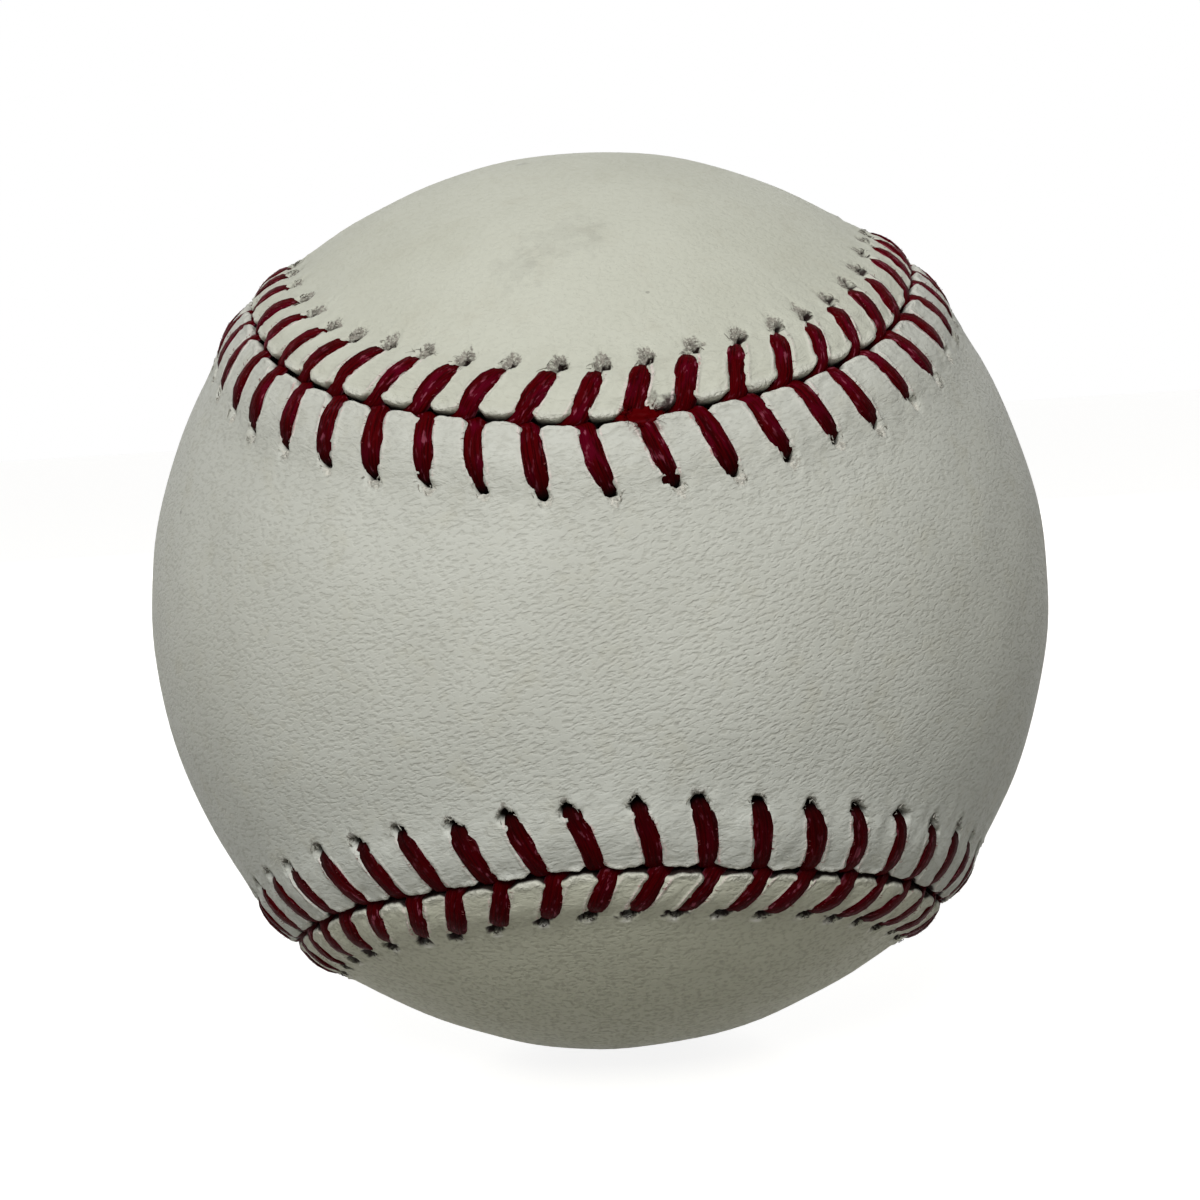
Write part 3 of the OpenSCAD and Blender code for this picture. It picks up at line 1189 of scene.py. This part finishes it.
        # The hole, and the fine relief of the whole hide and of the cut edge
        torn, rim, flap, ring = self.needle_hole(w, v - hole, at_seam)
        pit = 1 - smoothstep(0.6, 1.15, ring)
        height = height + rim * (self.rim_h + self.rim_waver.at(at_seam)) + self.flap_h * flap
        height = height - torn * (self.torn_depth + self.torn_waver.at(at_seam))
        height = height * (1 - pit) - self.pit_depth * pit
        height = height + sum(uneven.at(at_seam) for uneven in self.unevens)
        folds = np.abs(self.fold_waver.at(at_seam)) - 0.7 * self.fold_waver.height
        puckers = self.pucker_waver.at(at_seam) + folds
        height = height + puckers * side_on * (1 - smoothstep(0.3, 1.5, v))

        # The thread has dyed a thin line along both its sides, more at some legs than at others
        beside = np.clip(1 - np.abs(out - strand - 0.02) / self.dye_w, 0, 1)
        reach = smoothstep(0.1, 0.5, v) * (1 - smoothstep(hole - 0.3, hole + 0.4, v))
        return {
            "height": height,
            "dye": beside * reach * (0.55 + 0.45 * stain[whole]),
            # Pit mask: where painted shade darkens the needle hole
            "pit": 1 - smoothstep(0.6 * self.hole.recess_shade, 1.15 * self.hole.recess_shade, ring),
            "torn": torn,
            "flap": flap,
            "band": smoothstep(0.1, 0.6, v) * (1 - smoothstep(4.5, 7.5, v / sew.share(self.side))),
        }

    def needle_hole(self, w: Array, past_hole: Array, places: Array) -> tuple[Array, Array, Array, Array]:
        """Masks of a needle hole and of the leather torn up past it.

        Args:
            w: True sideways distance from the nearest leg.
            past_hole: Distance from the seam past the leg's hole.
            places: Places on the cover in millimetres.

        Returns:
            The torn patch, its rim and its flap, from 0 to 1, and how far a place is from
            the middle of the hole, which is 1 at the hole's edge.
        """
        size = self.hole
        below = smoothstep(-10, 10, -places[..., 2])
        aside, past, half_w, half_l, torn_past, torn_w, torn_l = (
            top + (bottom - top) * below
            for top, bottom in (size.aside, size.past, size.half_w, size.half_l,
                                size.torn_past, size.torn_w, size.torn_l)
        )
        ragged = 1 + self.ragged_waver.at(places)
        ring = np.abs((w + aside) / half_w) ** 3 + np.abs((past_hole - past) / half_l) ** 3
        ring = np.cbrt(ring) * ragged
        sideways = w + self.torn_aside
        slit = np.hypot(sideways / torn_w, (past_hole - torn_past) / torn_l) * ragged
        torn = (1 - smoothstep(0.55, 1.25, slit)) * smoothstep(-0.2, 0.15, past_hole)
        rim = bell(slit - self.rim_ring, 0.35) * smoothstep(-0.3, 0.2, past_hole)
        fold = past_hole - torn_past - size.flap_past + self.flap_waver.at(places)
        flap = bell(fold, self.flap_l) * (1 - smoothstep(0.2, 0.55, np.abs(sideways) * ragged))
        return torn, rim, size.flap * below * flap, ring

    def build(self) -> bpy.types.Object:
        """Builds the panel as one closed shell.

        Returns:
            The piece.
        """
        sew = self.sewing
        count = sew.stitches * self.columns
        rows = len(self.inner_rows) + 1 + self.wall_rows + len(self.band_rows) + self.field_steps
        bm = bmesh.new()
        bmesh.ops.create_grid(bm, x_segments=count, y_segments=rows - 1, size=1)
        name = f"leather_panel_{self.side.name.lower()}"
        mesh = make_mesh(bm, name)
        flat = vertex_array(mesh)
        col = np.rint((flat[:, 0] + 1) / 2 * count).astype(int)
        row = np.rint((flat[:, 1] + 1) / 2 * (rows - 1)).astype(int)

        first = sew.stitches / 4
        even = np.arange(count + 1) / self.columns
        part = even - np.rint(even)
        j = first + even - self.column_pull * np.sin(2 * np.pi * part) / (2 * np.pi)
        near = np.rint(j)
        columns = self.shape(j, near, first + even)
        places, masks = self.stack(columns)
        set_vertices(mesh, places[col, row])
        shown = ("dye", "pit", "torn", "flap", "band", "lip")
        spread_attributes(mesh, **{name: masks[name][col, row] for name in shown})
        corner = np.empty(len(mesh.loops), np.int32)
        mesh.loops.foreach_get("vertex_index", corner)
        run = mesh.uv_layers.new(name="seam_run")
        run_s = sew.line(j, 0, self.side)[col[corner]] * self.crease_scale
        flat_run = np.stack([run_s, masks["v"][col, row][corner]], -1)
        run.data.foreach_set("uv", flat_run.astype(np.float32).ravel())

        bm = bmesh.new()
        bm.from_mesh(mesh)
        bmesh.ops.remove_doubles(bm, verts=bm.verts, dist=1e-8)
        bmesh.ops.recalc_face_normals(bm, faces=bm.faces)
        LOG.info("%s has %d open edges", name, sum(1 for e in bm.edges if not e.is_manifold))
        bm.to_mesh(mesh)
        bm.free()
        return make_piece(f"{name}_sewn", mesh, self.finish.build(), [name])

    def shape(self, j: Array, near: Array, even: Array) -> dict[str, Array]:
        """Lays out the band of each column from the seam to the plain leather.

        Args:
            j: Place of each column among the stitches.
            near: Whole number of its nearest stitch.
            even: Its place before the columns are drawn closer to the legs.

        Returns:
            Places, distances and masks, by column and row.
        """
        sew, seam, side = self.sewing, self.sewing.seam, self.side
        base = np.asarray(self.band_rows, float)[None, :] * sew.share(side)
        part = (j - near)[:, None]
        strand = sew.strand_w / 2
        off = np.abs(part) * sew.pitch
        lip = self.lip_gap + self.pull_back * (1 - smoothstep(strand - 0.35, strand + 0.42, off))
        waver = sum(high * np.sin(j * often + start) for high, often, start in self.seam_sways)
        lip = lip + side.value * waver[:, None]
        v = base + lip * (1 - smoothstep(0, 1.6, base))
        s = sew.line(j[:, None], v, side)
        points = seam.place(s, v, side)
        scale = seam.stretch(s, v, side)
        middle = near[:, None] * np.ones_like(v)
        w = (part * sew.pitch - sew.aside(middle, v, side)) * scale
        half = scale * sew.pitch / 2
        found = self.relief(w, half, v, middle, points)
        drop = smooth_curve(base, (0, 0.05, 0.13, 0.25, 0.42), (0.2, 0.08, 0.025, 0.005, 0))
        found["height"] = found["height"] - drop
        # The lip mask: folds, and the painted highlight by the seam and beside the legs
        found["lip"] = (1 - smoothstep(0.2, 0.9, v)) * smoothstep(strand - 0.2, strand + 0.4, np.abs(w))
        found["lip"] = np.maximum(found["lip"], 0.9 * found["dye"])
        found["points"], found["v"], found["spine"] = points, v, self.spine(even)
        return found

    def stack(self, band: dict[str, Array]) -> tuple[Array, dict[str, Array]]:
        """Joins the inner face, the cut edge, the band and the plain leather.

        Args:
            band: What shape() found.

        Returns:
            Places in millimetres and masks, by column and row.
        """
        cover_r = self.sewing.seam.cover_r
        points, spine = band["points"], band["spine"]

        start = points[:, -1]
        gap = np.arccos(np.clip((start * spine).sum(-1), -1, 1))[:, None]

        def toward_spine(share: float) -> Array:
            """A point on the great circle from the band's last row to the spine."""
            return (np.sin((1 - share) * gap) * start + np.sin(share * gap) * spine) / np.sin(gap)

        edge = points[:, 0]
        rows = [toward_spine(q) * self.lining_r for q in self.inner_rows]
        rows.append(edge * self.lining_r)
        top = cover_r + band["height"][:, :1]
        for i in range(self.wall_rows):
            share = (i + 1) / (self.wall_rows + 1)
            rows.append(edge * (self.lining_r + (top - self.lining_r) * share))
        rows += [points[:, i] * (cover_r + band["height"][:, i : i + 1]) for i in range(points.shape[1])]
        for q in np.linspace(1 / self.field_steps, 1, self.field_steps):
            bare = toward_spine(q)
            high = sum(uneven.at(bare * cover_r) for uneven in self.unevens)
            high = high + self.sewing.swell(band["v"][:, -1] + q * gap[:, 0] * cover_r, self.side)
            rows.append(bare * (cover_r + high[:, None]))
        places = np.stack(rows, 1)
        before = len(self.inner_rows) + 1 + self.wall_rows
        after = self.field_steps
        masks = {}
        for name in ("dye", "pit", "torn", "flap", "band", "lip", "v"):
            masks[name] = np.pad(band[name], ((0, 0), (before, after)), mode="edge")
        for name in ("dye", "pit", "torn", "flap", "lip"):
            masks[name][:, :before] = 0
        # Painted shade on the cut edge in the seam's gap, and on the lips, more on the underside
        masks["pit"][:, len(self.inner_rows) : before] = 0.8
        below = smoothstep(-8, 10, -edge[:, 2] * cover_r)
        for i, dark in enumerate(self.lip_shade):
            cut = masks["pit"][:, before + i]
            masks["pit"][:, before + i] = np.maximum(cut, dark * (0.35 + 0.65 * below))
        return places, masks


@dataclass
class Thread:
    """All legs that one needle has sewn, each a flattened waxed strand."""

    sewing: Sewing
    needle: Needle
    finish: StrandFinish
    rings: int = 12
    corners: int = 8
    shown_length: float = 5.2
    probe: float = 0.01
    uneven_w: float = 0.045
    uneven_t: float = 0.04
    # Half the strand's width and thickness, evenly along the leg
    half_w: Sequence[float] = (0.42, 0.64, 0.8, 0.845, 0.855, 0.83, 0.7, 0.44)
    half_t: Sequence[float] = (0.22, 0.28, 0.31, 0.31, 0.31, 0.31, 0.3, 0.22)
    seed: int = 19

    def build(self) -> bpy.types.Object:
        """Builds the legs of this needle.

        Returns:
            The piece.
        """
        sew = self.sewing
        name = f"thread_{self.needle.name.lower()}_needle"
        mesh = joined_mesh([tube(self.corners, 1, self.rings - 2)] * sew.stitches, name)
        flat = vertex_array(mesh)
        size = len(flat) // sew.stitches
        j = np.repeat(np.arange(sew.stitches), size)
        turn, along = np.arctan2(flat[:, 1], flat[:, 0]), flat[:, 2]
        places = np.empty_like(flat)
        in_front = (j + self.needle.value) % 2 == 0
        for side in PanelSide:
            chosen = in_front if side is PanelSide.FRONT else ~in_front
            places[chosen] = self.bend(j[chosen], along[chosen], turn[chosen], side)
        set_vertices(mesh, places)
        rng = np.random.default_rng(self.seed + self.needle.value)
        # The end mask: painted shade over the legs' last stretch before the hole and where they leave the
        # seam
        front_dark = 0.5 * smoothstep(0.48, 0.76, along) + 0.5 * smoothstep(0.78, 0.92, along)
        dark = np.where(in_front, front_dark, smoothstep(0.76, 0.92, along))
        dark = dark + 0.7 * (1 - smoothstep(0.03, 0.22, along))
        spread_attributes(
            mesh, along=along * self.shown_length, across=np.cos(turn),
            lot=np.repeat(rng.uniform(0, 40, sew.stitches), size), end=np.clip(dark, 0, 1),
        )
        return make_piece(f"{name}_waxed", mesh, self.finish.build(), [name])

    def bend(self, j: Array, along: Array, turn: Array, side: PanelSide) -> Array:
        """Bends the tubes' points into legs.

        Args:
            j: Number of the stitch.
            along: Share of the leg's length.
            turn: Angle round the strand.
            side: The panel.

        Returns:
            Places in millimetres.
        """
        sew = self.sewing
        middle = self.course(j, along, side)
        ahead = unit(self.course(j, along + self.probe, side) - self.course(j, along - self.probe, side))
        foot = self.course(j, np.full_like(along, 0.3), side)
        head = self.course(j, np.full_like(along, 0.75), side)
        across = unit(np.cross(unit(foot + head), head - foot)) * side.value
        level = unit(np.cross(ahead, across)) * side.value
        level = level * np.sign((level * unit(middle)).sum(-1, keepdims=True) + 1e-9)
        knots = np.linspace(0, 1, len(self.half_w))
        wide, thick = smooth_curve(along, knots, self.half_w), smooth_curve(along, knots, self.half_t)
        plump = sew.plump[side][j]
        at = np.stack([along * 5, j * 7.3, side.value + turn / 3], -1)
        slow, rough = ripple(at, 3.2, 33), ripple(at, 0.9, 31)
        wide = wide * plump * (1 + self.uneven_w * (slow + rough))
        thick = thick * (1 + self.uneven_t * rough)
        c, d = np.cos(turn), np.sin(turn)
        x = np.sign(c) * np.abs(c) ** 0.9 * wide
        y = np.sign(d) * np.abs(d) ** 0.65 * thick
        return middle + across * x[:, None] + level * y[:, None]

    def course(self, j: Array, along: Array, side: PanelSide) -> Array:
        """Middle of the strand.

        Args:
            j: Number of the stitch.
            along: Share of the leg's length.
            side: The panel.

        Returns:
            Places in millimetres.
        """
        sew = self.sewing
        knots = np.linspace(0, 1, len(sew.course_v))
        v = smooth_curve(along, knots, sew.course_v) * sew.share(side)
        h = smooth_curve(along, knots, sew.course_h)
        past = smooth_curve(along, knots, sew.course_s)
        v = v + sew.reach[side][j] * smoothstep(0.3, 0.8, along)
        s = sew.line(j.astype(float), np.maximum(v, 0), side) + sew.aside(j, v, side) + past
        return sew.seam.place(s, v, side) * (sew.seam.cover_r + h)[:, None]


class Bristles:
    """Many equal spikes in one mesh, with random numbers for each."""

    def __init__(self, name: str, count: int, cuts: int, seed: int) -> None:
        """Makes the spikes, all straight and in one place.

        Args:
            name: Name of the mesh.
            count: Number of spikes.
            cuts: Rings between the ends of each.
            seed: Seed of the random numbers.
        """
        self.count = count
        self.mesh = joined_mesh([tube(3, 0.25, cuts)] * count, name)
        self.flat = vertex_array(self.mesh)
        self.rng = np.random.default_rng(seed)

    def spread(self, values: Array) -> Array:
        """Repeats one number for each spike for all its vertices."""
        return np.repeat(values, len(self.flat) // self.count)

    def draw(self, low: float, high: float) -> Array:
        """One random number for each spike, repeated for its vertices."""
        return self.spread(self.rng.uniform(low, high, self.count))


@dataclass
class EdgeFuzz:
    """Short stray fibres that stand out along both edges of every leg."""

    sewing: Sewing
    finish: FibreFinish
    each: int = 10
    thickness: float = 0.024
    length: float = 0.3
    rooted: float = 0.2
    seed: int = 61

    def build(self) -> bpy.types.Object:
        """Builds the fuzz of all legs.

        Returns:
            The piece.
        """
        sew = self.sewing
        count = sew.stitches * self.each * len(PanelSide)
        fibres = Bristles("thread_fuzz", count, 1, self.seed)
        flat, draw = fibres.flat, fibres.draw
        order = fibres.spread(np.arange(count))
        j = order // self.each % sew.stitches
        in_front = order < count // 2
        along = flat[:, 2]
        edge = np.where(draw(-1, 1) > 0, 1, -1)
        long_by = draw(0.35, 1) * self.length
        v = draw(0.5, 4.1) + draw(-0.7, 0.7) * long_by * along + flat[:, 1] * self.thickness
        out = sew.strand_w / 2 - self.rooted + long_by * along
        lift = 0.24 + draw(0, 0.14) * np.sin(np.pi * (0.1 + 0.7 * along)) + flat[:, 0] * self.thickness
        places = np.empty_like(flat)
        for side in PanelSide:
            pick = in_front if side is PanelSide.FRONT else ~in_front
            n, at = j[pick], v[pick] * sew.share(side)
            s = sew.line(n.astype(float), at, side) + sew.aside(n, at, side)
            s = s + (edge * out)[pick] * sew.plump[side][n] / sew.seam.stretch(s, at, side)
            h = sew.strand_middle(at, side) + lift[pick]
            places[pick] = sew.seam.place(s, at, side) * (sew.seam.cover_r + h)[:, None]
        set_vertices(fibres.mesh, places)
        spread_attributes(fibres.mesh, along=along)
        return make_piece("thread_fuzz", fibres.mesh, self.finish.build())


@dataclass
class FrayedCrossing:
    """One crossing on the seam where the thread has frayed to a flat felted lump."""

    sewing: Sewing
    finish: StrandFinish
    at: Sequence[float]
    along_seam: float = 1.35
    across_seam: float = 1.0
    proud: float = 0.42
    middle_h: float = 0.55
    hairs: int = 140
    hair_r: float = 0.024
    unevens: Sequence[Waver] = (Waver(0.15, 0.9, 41), Waver(0.11, 0.3, 42))
    seed: int = 77

    def build(self) -> bpy.types.Object:
        """Builds the lump and its hairs.

        Returns:
            The piece.
        """
        seam = self.sewing.seam
        bm = bmesh.new()
        bmesh.ops.create_icosphere(bm, subdivisions=4, radius=1)
        lump = make_mesh(bm, "frayed_lump")
        hairs = Bristles("frayed_hairs", self.hairs, 2, self.seed)
        ball, spikes, draw = vertex_array(lump), hairs.flat, hairs.draw
        rough = 1 + sum(uneven.at(ball) for uneven in self.unevens)
        shape = ball * rough[:, None]
        heading = draw(0, 2 * np.pi)
        out = 0.75 + draw(0.1, 0.5) * spikes[:, 2]
        curled = heading + draw(-0.5, 0.5) * spikes[:, 2]
        hair_s = np.cos(curled) * out * self.along_seam + spikes[:, 0] * self.hair_r
        curled = heading + draw(-0.5, 0.5) * spikes[:, 2]
        hair_v = np.sin(curled) * out * self.across_seam + spikes[:, 1] * self.hair_r
        hair_h = draw(0.0, 1.2) * self.proud + draw(0.0, 0.35) * spikes[:, 2]
        s = np.concatenate([shape[:, 0] * self.along_seam, hair_s]) + seam.nearest(self.at)
        v = np.concatenate([shape[:, 1] * self.across_seam, hair_v])
        h = np.concatenate([shape[:, 2] * self.proud, hair_h]) + self.middle_h - 0.12 * np.abs(v)
        mesh = joined_mesh([lump, hairs.mesh], "thread_fray")
        set_vertices(mesh, seam.place(s, v, PanelSide.BACK) * (seam.cover_r + h)[:, None])
        nought = np.zeros(len(s))
        spread_attributes(mesh, along=0.9 + 0.5 * v, across=nought, lot=nought + 3, end=nought)
        return make_piece("thread_fray", mesh, self.finish.build())


@dataclass
class HoleFibres:
    """Short fibres that the needle has torn up round the holes of one panel."""

    sewing: Sewing
    side: PanelSide
    finish: FibreFinish
    each: int = 9
    thickness: float = 0.05
    length: float = 0.5
    lift: float = 0.13
    short_below: float = 0
    seed: int = 43

    def build(self) -> bpy.types.Object:
        """Builds the fibres of this panel.

        Returns:
            The piece.
        """
        sew = self.sewing
        name = f"hole_fibres_{self.side.name.lower()}"
        fibres = Bristles(name, sew.stitches * self.each, 2, self.seed + self.side.value)
        flat, draw = fibres.flat, fibres.draw
        j = fibres.spread(np.repeat(np.arange(sew.stitches), self.each))
        along = flat[:, 2]
        fan = draw(-1.9, 1.9)
        start = draw(0.4, 0.7)
        long_by = draw(0.35, 1.0) * self.length
        long_by = long_by * fibres.spread(np.repeat(fibres.rng.uniform(0.6, 1.25, sew.stitches), self.each))
        bend = draw(-0.8, 0.8)
        height = draw(0.2, 1) * self.lift
        thick = draw(0.6, 1.3) * self.thickness
        out = start + along * long_by
        angle = fan + bend * along
        hole = sew.hole_v[self.side] + sew.reach[self.side][j] + 0.3
        site = sew.seam.place(sew.line(j.astype(float), hole, self.side), hole, self.side)
        out = out * (1 - self.short_below * smoothstep(-0.15, 0.25, -site[:, 2]))
        v = hole + out * np.cos(angle) * 0.95
        sideways = out * np.sin(angle)
        s = sew.line(j.astype(float), v, self.side) + sew.aside(j, v, self.side)
        s = s + sideways / sew.seam.stretch(s, v, self.side)
        ground = sew.swell(v, self.side)
        h = ground + 0.02 + height * np.sin(np.pi * (0.15 + 0.75 * along)) + flat[:, 0] * thick
        s = s + flat[:, 1] * thick
        places = sew.seam.place(s, v, self.side) * (sew.seam.cover_r + h)[:, None]
        set_vertices(fibres.mesh, places)
        spread_attributes(fibres.mesh, along=along)
        return make_piece(name, fibres.mesh, self.finish.build())


@dataclass
class Layers:
    """The pill and the windings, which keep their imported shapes."""

    finishes: dict[str, LayerFinish]

    def dress(self) -> None:
        """Gives each packed layer its material."""
        made: dict[LayerFinish, bpy.types.Material] = {}
        for node, finish in self.finishes.items():
            if finish not in made:
                made[finish] = finish.build()
            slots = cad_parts[node].data.materials
            slots.clear()
            slots.append(made[finish])
            LOG.info("%s: %s", node, made[finish].name)


@dataclass
class Studio:
    """The floor, the lamps and the camera."""

    distance: float = 170.94
    azimuth: float = -0.0028
    elevation: float = 0.0949
    roll: float = -0.0601
    lens: float = 60.42
    ambient: float = 0.004
    key_at: Sequence[float] = (-0.097, -0.723, 0.62)
    key_size: float = 0.42
    key_power: float = 7.72
    back_at: Sequence[float] = (0, 0.74, 0.045)
    back_size: float = 0.14
    back_power: float = 3.8
    floor_reach: float = 6
    floor_tone: Sequence[float] = (0.31, 0.3, 0.265)
    floor_glow: float = 0.88

    def camera(self) -> None:
        """Puts the camera where the photograph was taken from."""
        a, e, r = self.azimuth, self.elevation, self.roll
        back = Vector((math.sin(a) * math.cos(e), -math.cos(a) * math.cos(e), math.sin(e)))
        right = Vector((math.cos(a), math.sin(a), 0))
        up = back.cross(right)
        right_rolled = math.cos(r) * right + math.sin(r) * up
        up_rolled = -math.sin(r) * right + math.cos(r) * up
        data = bpy.data.cameras.new("camera")
        data.sensor_width = 36
        data.lens = self.lens
        data.clip_start, data.clip_end = 0.005, 20
        camera = add_object("camera", data)
        camera.matrix_world = Matrix.Translation(back * self.distance * MM) @ Matrix(
            (right_rolled, up_rolled, back)).transposed().to_4x4()
        bpy.context.scene.camera = camera

    def lamp(self, name: str, at: Sequence[float], size: float, power: float) -> None:
        """Hangs a square soft lamp that faces the ball.

        Args:
            name: Name of the lamp.
            at: Its place in metres.
            size: Length of its side in metres.
            power: Its power in watts.
        """
        data = bpy.data.lights.new(name, "AREA")
        data.size, data.energy = size, power
        lamp = add_object(name, data)
        lamp.location = at
        lamp.rotation_euler = Vector(at).to_track_quat("Z", "Y").to_euler()

    def floor(self) -> None:
        """Lays the pale floor under the ball."""
        bm = bmesh.new()
        bmesh.ops.create_grid(
            bm, x_segments=2, y_segments=2, size=self.floor_reach,
            matrix=Matrix.Translation((0, 0, -COVER_R * MM)))
        mesh = make_mesh(bm, "floor")
        s = Shader("pale_floor")
        s.put(s.surface.inputs["Base Color"], self.floor_tone)
        s.put(s.surface.inputs["Roughness"], 0.9)
        ray = s.node("ShaderNodeLightPath", {}).outputs
        seen = s.plus(ray["Is Camera Ray"], ray["Is Glossy Ray"])
        seen = s.math("ADD", seen, ray["Is Transmission Ray"], clamp=True)
        strength = s.times(seen, self.floor_glow)
        glow = s.node("ShaderNodeEmission", {"Color": (1, 1, 1), "Strength": strength})
        added = s.node("ShaderNodeAddShader", {0: s.surface.outputs[0], 1: glow.outputs[0]})
        s.links.new(added.outputs[0], s.output.inputs["Surface"])
        mesh.materials.append(s.material)
        add_object("floor", mesh)

    def world(self) -> None:
        """Lights the room evenly and shows it white."""
        world = bpy.data.worlds.new("studio")
        world.use_nodes = True
        nodes, links = world.node_tree.nodes, world.node_tree.links
        ray = nodes.new("ShaderNodeLightPath").outputs
        seen = ray["Is Camera Ray"]
        for other in ("Is Glossy Ray", "Is Transmission Ray"):
            either = nodes.new("ShaderNodeMath")
            either.operation = "MAXIMUM"
            links.new(seen, either.inputs[0])
            links.new(ray[other], either.inputs[1])
            seen = either.outputs[0]
        strength = nodes.new("ShaderNodeMapRange")
        links.new(seen, strength.inputs[0])
        strength.inputs[3].default_value = self.ambient
        strength.inputs[4].default_value = 1
        background = nodes["Background"]
        background.inputs[0].default_value = (1, 1, 1, 1)
        links.new(strength.outputs[0], background.inputs[1])
        bpy.context.scene.world = world

    def build(self) -> None:
        """Sets up the whole studio."""
        bpy.context.scene.view_settings.view_transform = "Standard"
        self.camera()
        self.floor()
        self.world()
        self.lamp("key_lamp", self.key_at, self.key_size, self.key_power)
        self.lamp("back_lamp", self.back_at, self.back_size, self.back_power)


def leather_finishes() -> dict[PanelSide, LeatherFinish]:
    """The two panels' finishes, cut from two hides.

    Returns:
        One finish for each panel.
    """
    front = LeatherFinish(
        "horsehide_front", tone=(0.638, 0.647, 0.582), shade=(0.603, 0.611, 0.547),
        lower_light_tint=(0.61, 0.634, 0.59), torn=(0.72, 0.7, 0.62),
        grain_depth=0.15, grain_turn=(0, 16, 0), grain_stretch=(1.0, 1.0, 2.0),
        strokes=0.45, grain_shade=(0.17, 0.25), marks=(
            Mark(FRAYED_AT, 1.3, 0.7, (0.12, 0.002, 0.004), 0.5),
            Mark((-8.2, -35.3, -8.0), 0.22, 0.6), Mark((4.5, -36.5, -5.1), 0.2, 0.6),
            Mark((28.6, -22.4, 8.0), 0.25, 0.5), Mark((-31.5, -16.9, 10.2), 0.25, 0.5),
        ),
    )
    back = LeatherFinish(
        "horsehide_back", tone=(0.643, 0.65, 0.552), shade=(0.606, 0.612, 0.514),
        lower_light_tint=(0.59, 0.594, 0.47), torn=(0.35, 0.325, 0.28),
        grain_depth=0.14, grain_turn=(0, 4, 0), grain_stretch=(1.3, 1.3, 1.9),
        strokes=0.6, grain_shade=(0.05, 0.4), marks=(
            Mark(FRAYED_AT, 1.7, 0.9, (0.12, 0.002, 0.004), 0.4),
            # A near-black patch along the lip right of the frayed crossing
            Mark((5.6, -33.9, 16.0), 1.5, 0.97, (0.02, 0.005, 0.005), 0.45),
            Mark((-4.5, -26.1, 26.1), 2.1, 0.11), Mark((-0.9, -23.8, 28.5), 3.1, 0.09),
            Mark((-2.9, -25.0, 27.3), 1.3, 0.08), Mark((1.2, -23.2, 29.0), 1.2, 0.08),
            Mark((-4.1, -10.1, 35.5), 0.7, 0.25), Mark((8.0, -26.4, 24.9), 0.16, 0.6),
            Mark((4.5, -28.0, 24.0), 0.18, 0.5), Mark((1.1, -22.5, 29.6), 0.14, 0.5),
            Mark((7.1, -27.2, -24.3), 0.3, 0.4),
        ),
    )
    return {PanelSide.FRONT: front, PanelSide.BACK: back}


def hole_shapes() -> dict[PanelSide, HoleShape]:
    """The needle holes of the two panels.

    Returns:
        One shape for each panel.
    """
    return {
        PanelSide.FRONT: HoleShape(
            aside=(0.0, 0.0), past=(0.14, 0.14), half_w=(0.42, 0.58), half_l=(0.34, 0.48),
            torn_past=(0.6, 0.62), torn_w=(0.5, 0.5), torn_l=(0.6, 0.6),
            flap=0.3, flap_past=0.4, recess_shade=1.0,
        ),
        PanelSide.BACK: HoleShape(
            aside=(0.42, 0.2), past=(0.34, 0.2), half_w=(0.24, 0.56), half_l=(0.3, 0.4),
            torn_past=(0.78, 0.4), torn_w=(0.68, 0.6), torn_l=(0.8, 0.42),
            flap=0.9, flap_past=0.5, recess_shade=1.4,
        ),
    }


def dress_layers() -> None:
    """Dresses the pill and the windings."""
    black = RubberFinish("black_rubber", (0.012, 0.012, 0.013), (0.03, 0.03, 0.031))
    red = RubberFinish("red_rubber", (0.38, 0.035, 0.025), (0.45, 0.07, 0.05))
    grey = WindingFinish("grey_wool", (0.3, 0.31, 0.34), (0.09, 0.095, 0.11), 1.1, 0.6)
    white = WindingFinish("white_wool", (0.72, 0.69, 0.6), (0.36, 0.33, 0.27), 1.3, 0.5)
    cotton = WindingFinish("cotton_yarn", (0.78, 0.75, 0.68), (0.42, 0.39, 0.33), 2.2, 0.2)
    Layers({
        "cork_core": CorkFinish(), "black_shell_lower": black, "black_shell_upper": black,
        "red_washer": red, "red_rubber_coat": red, "grey_wool_inner": grey,
        "white_wool": white, "grey_wool_outer": grey, "cotton_winding": cotton,
    }).dress()


def main() -> None:
    """Builds the pieces in order and reports each."""
    logging.basicConfig(level=logging.INFO, format="%(message)s")
    Studio().build()
    sewing = Sewing(Seam())
    LOG.info("seam length %.2f mm, pitch %.3f mm", sewing.seam.length, sewing.pitch)
    finishes, holes = leather_finishes(), hole_shapes()
    for side in PanelSide:
        LeatherPanel(sewing, side, finishes[side], holes[side]).build()
    strand = StrandFinish("waxed_thread")
    for needle in Needle:
        Thread(sewing, needle, strand).build()
    stray = FibreFinish("stray_fibre", (0.13, 0.002, 0.008), (0.4, 0.16, 0.15))
    frayed = StrandFinish("frayed_thread", tone=(0.13, 0.0004, 0.002), painted_sheen=(0.13, 0.0005, 0.003))
    pale = FibreFinish("pale_fibre", (0.4, 0.38, 0.33), (0.62, 0.61, 0.54))
    torn = FibreFinish("torn_fibre", (0.34, 0.32, 0.27), (0.15, 0.14, 0.115), underside_shade=0.92)
    EdgeFuzz(sewing, stray).build()
    FrayedCrossing(sewing, frayed, FRAYED_AT).build()
    HoleFibres(sewing, PanelSide.FRONT, pale, each=5, length=0.32, lift=0.08).build()
    HoleFibres(sewing, PanelSide.BACK, torn, short_below=0.5).build()
    dress_layers()


if __name__ == "__main__":
    main()
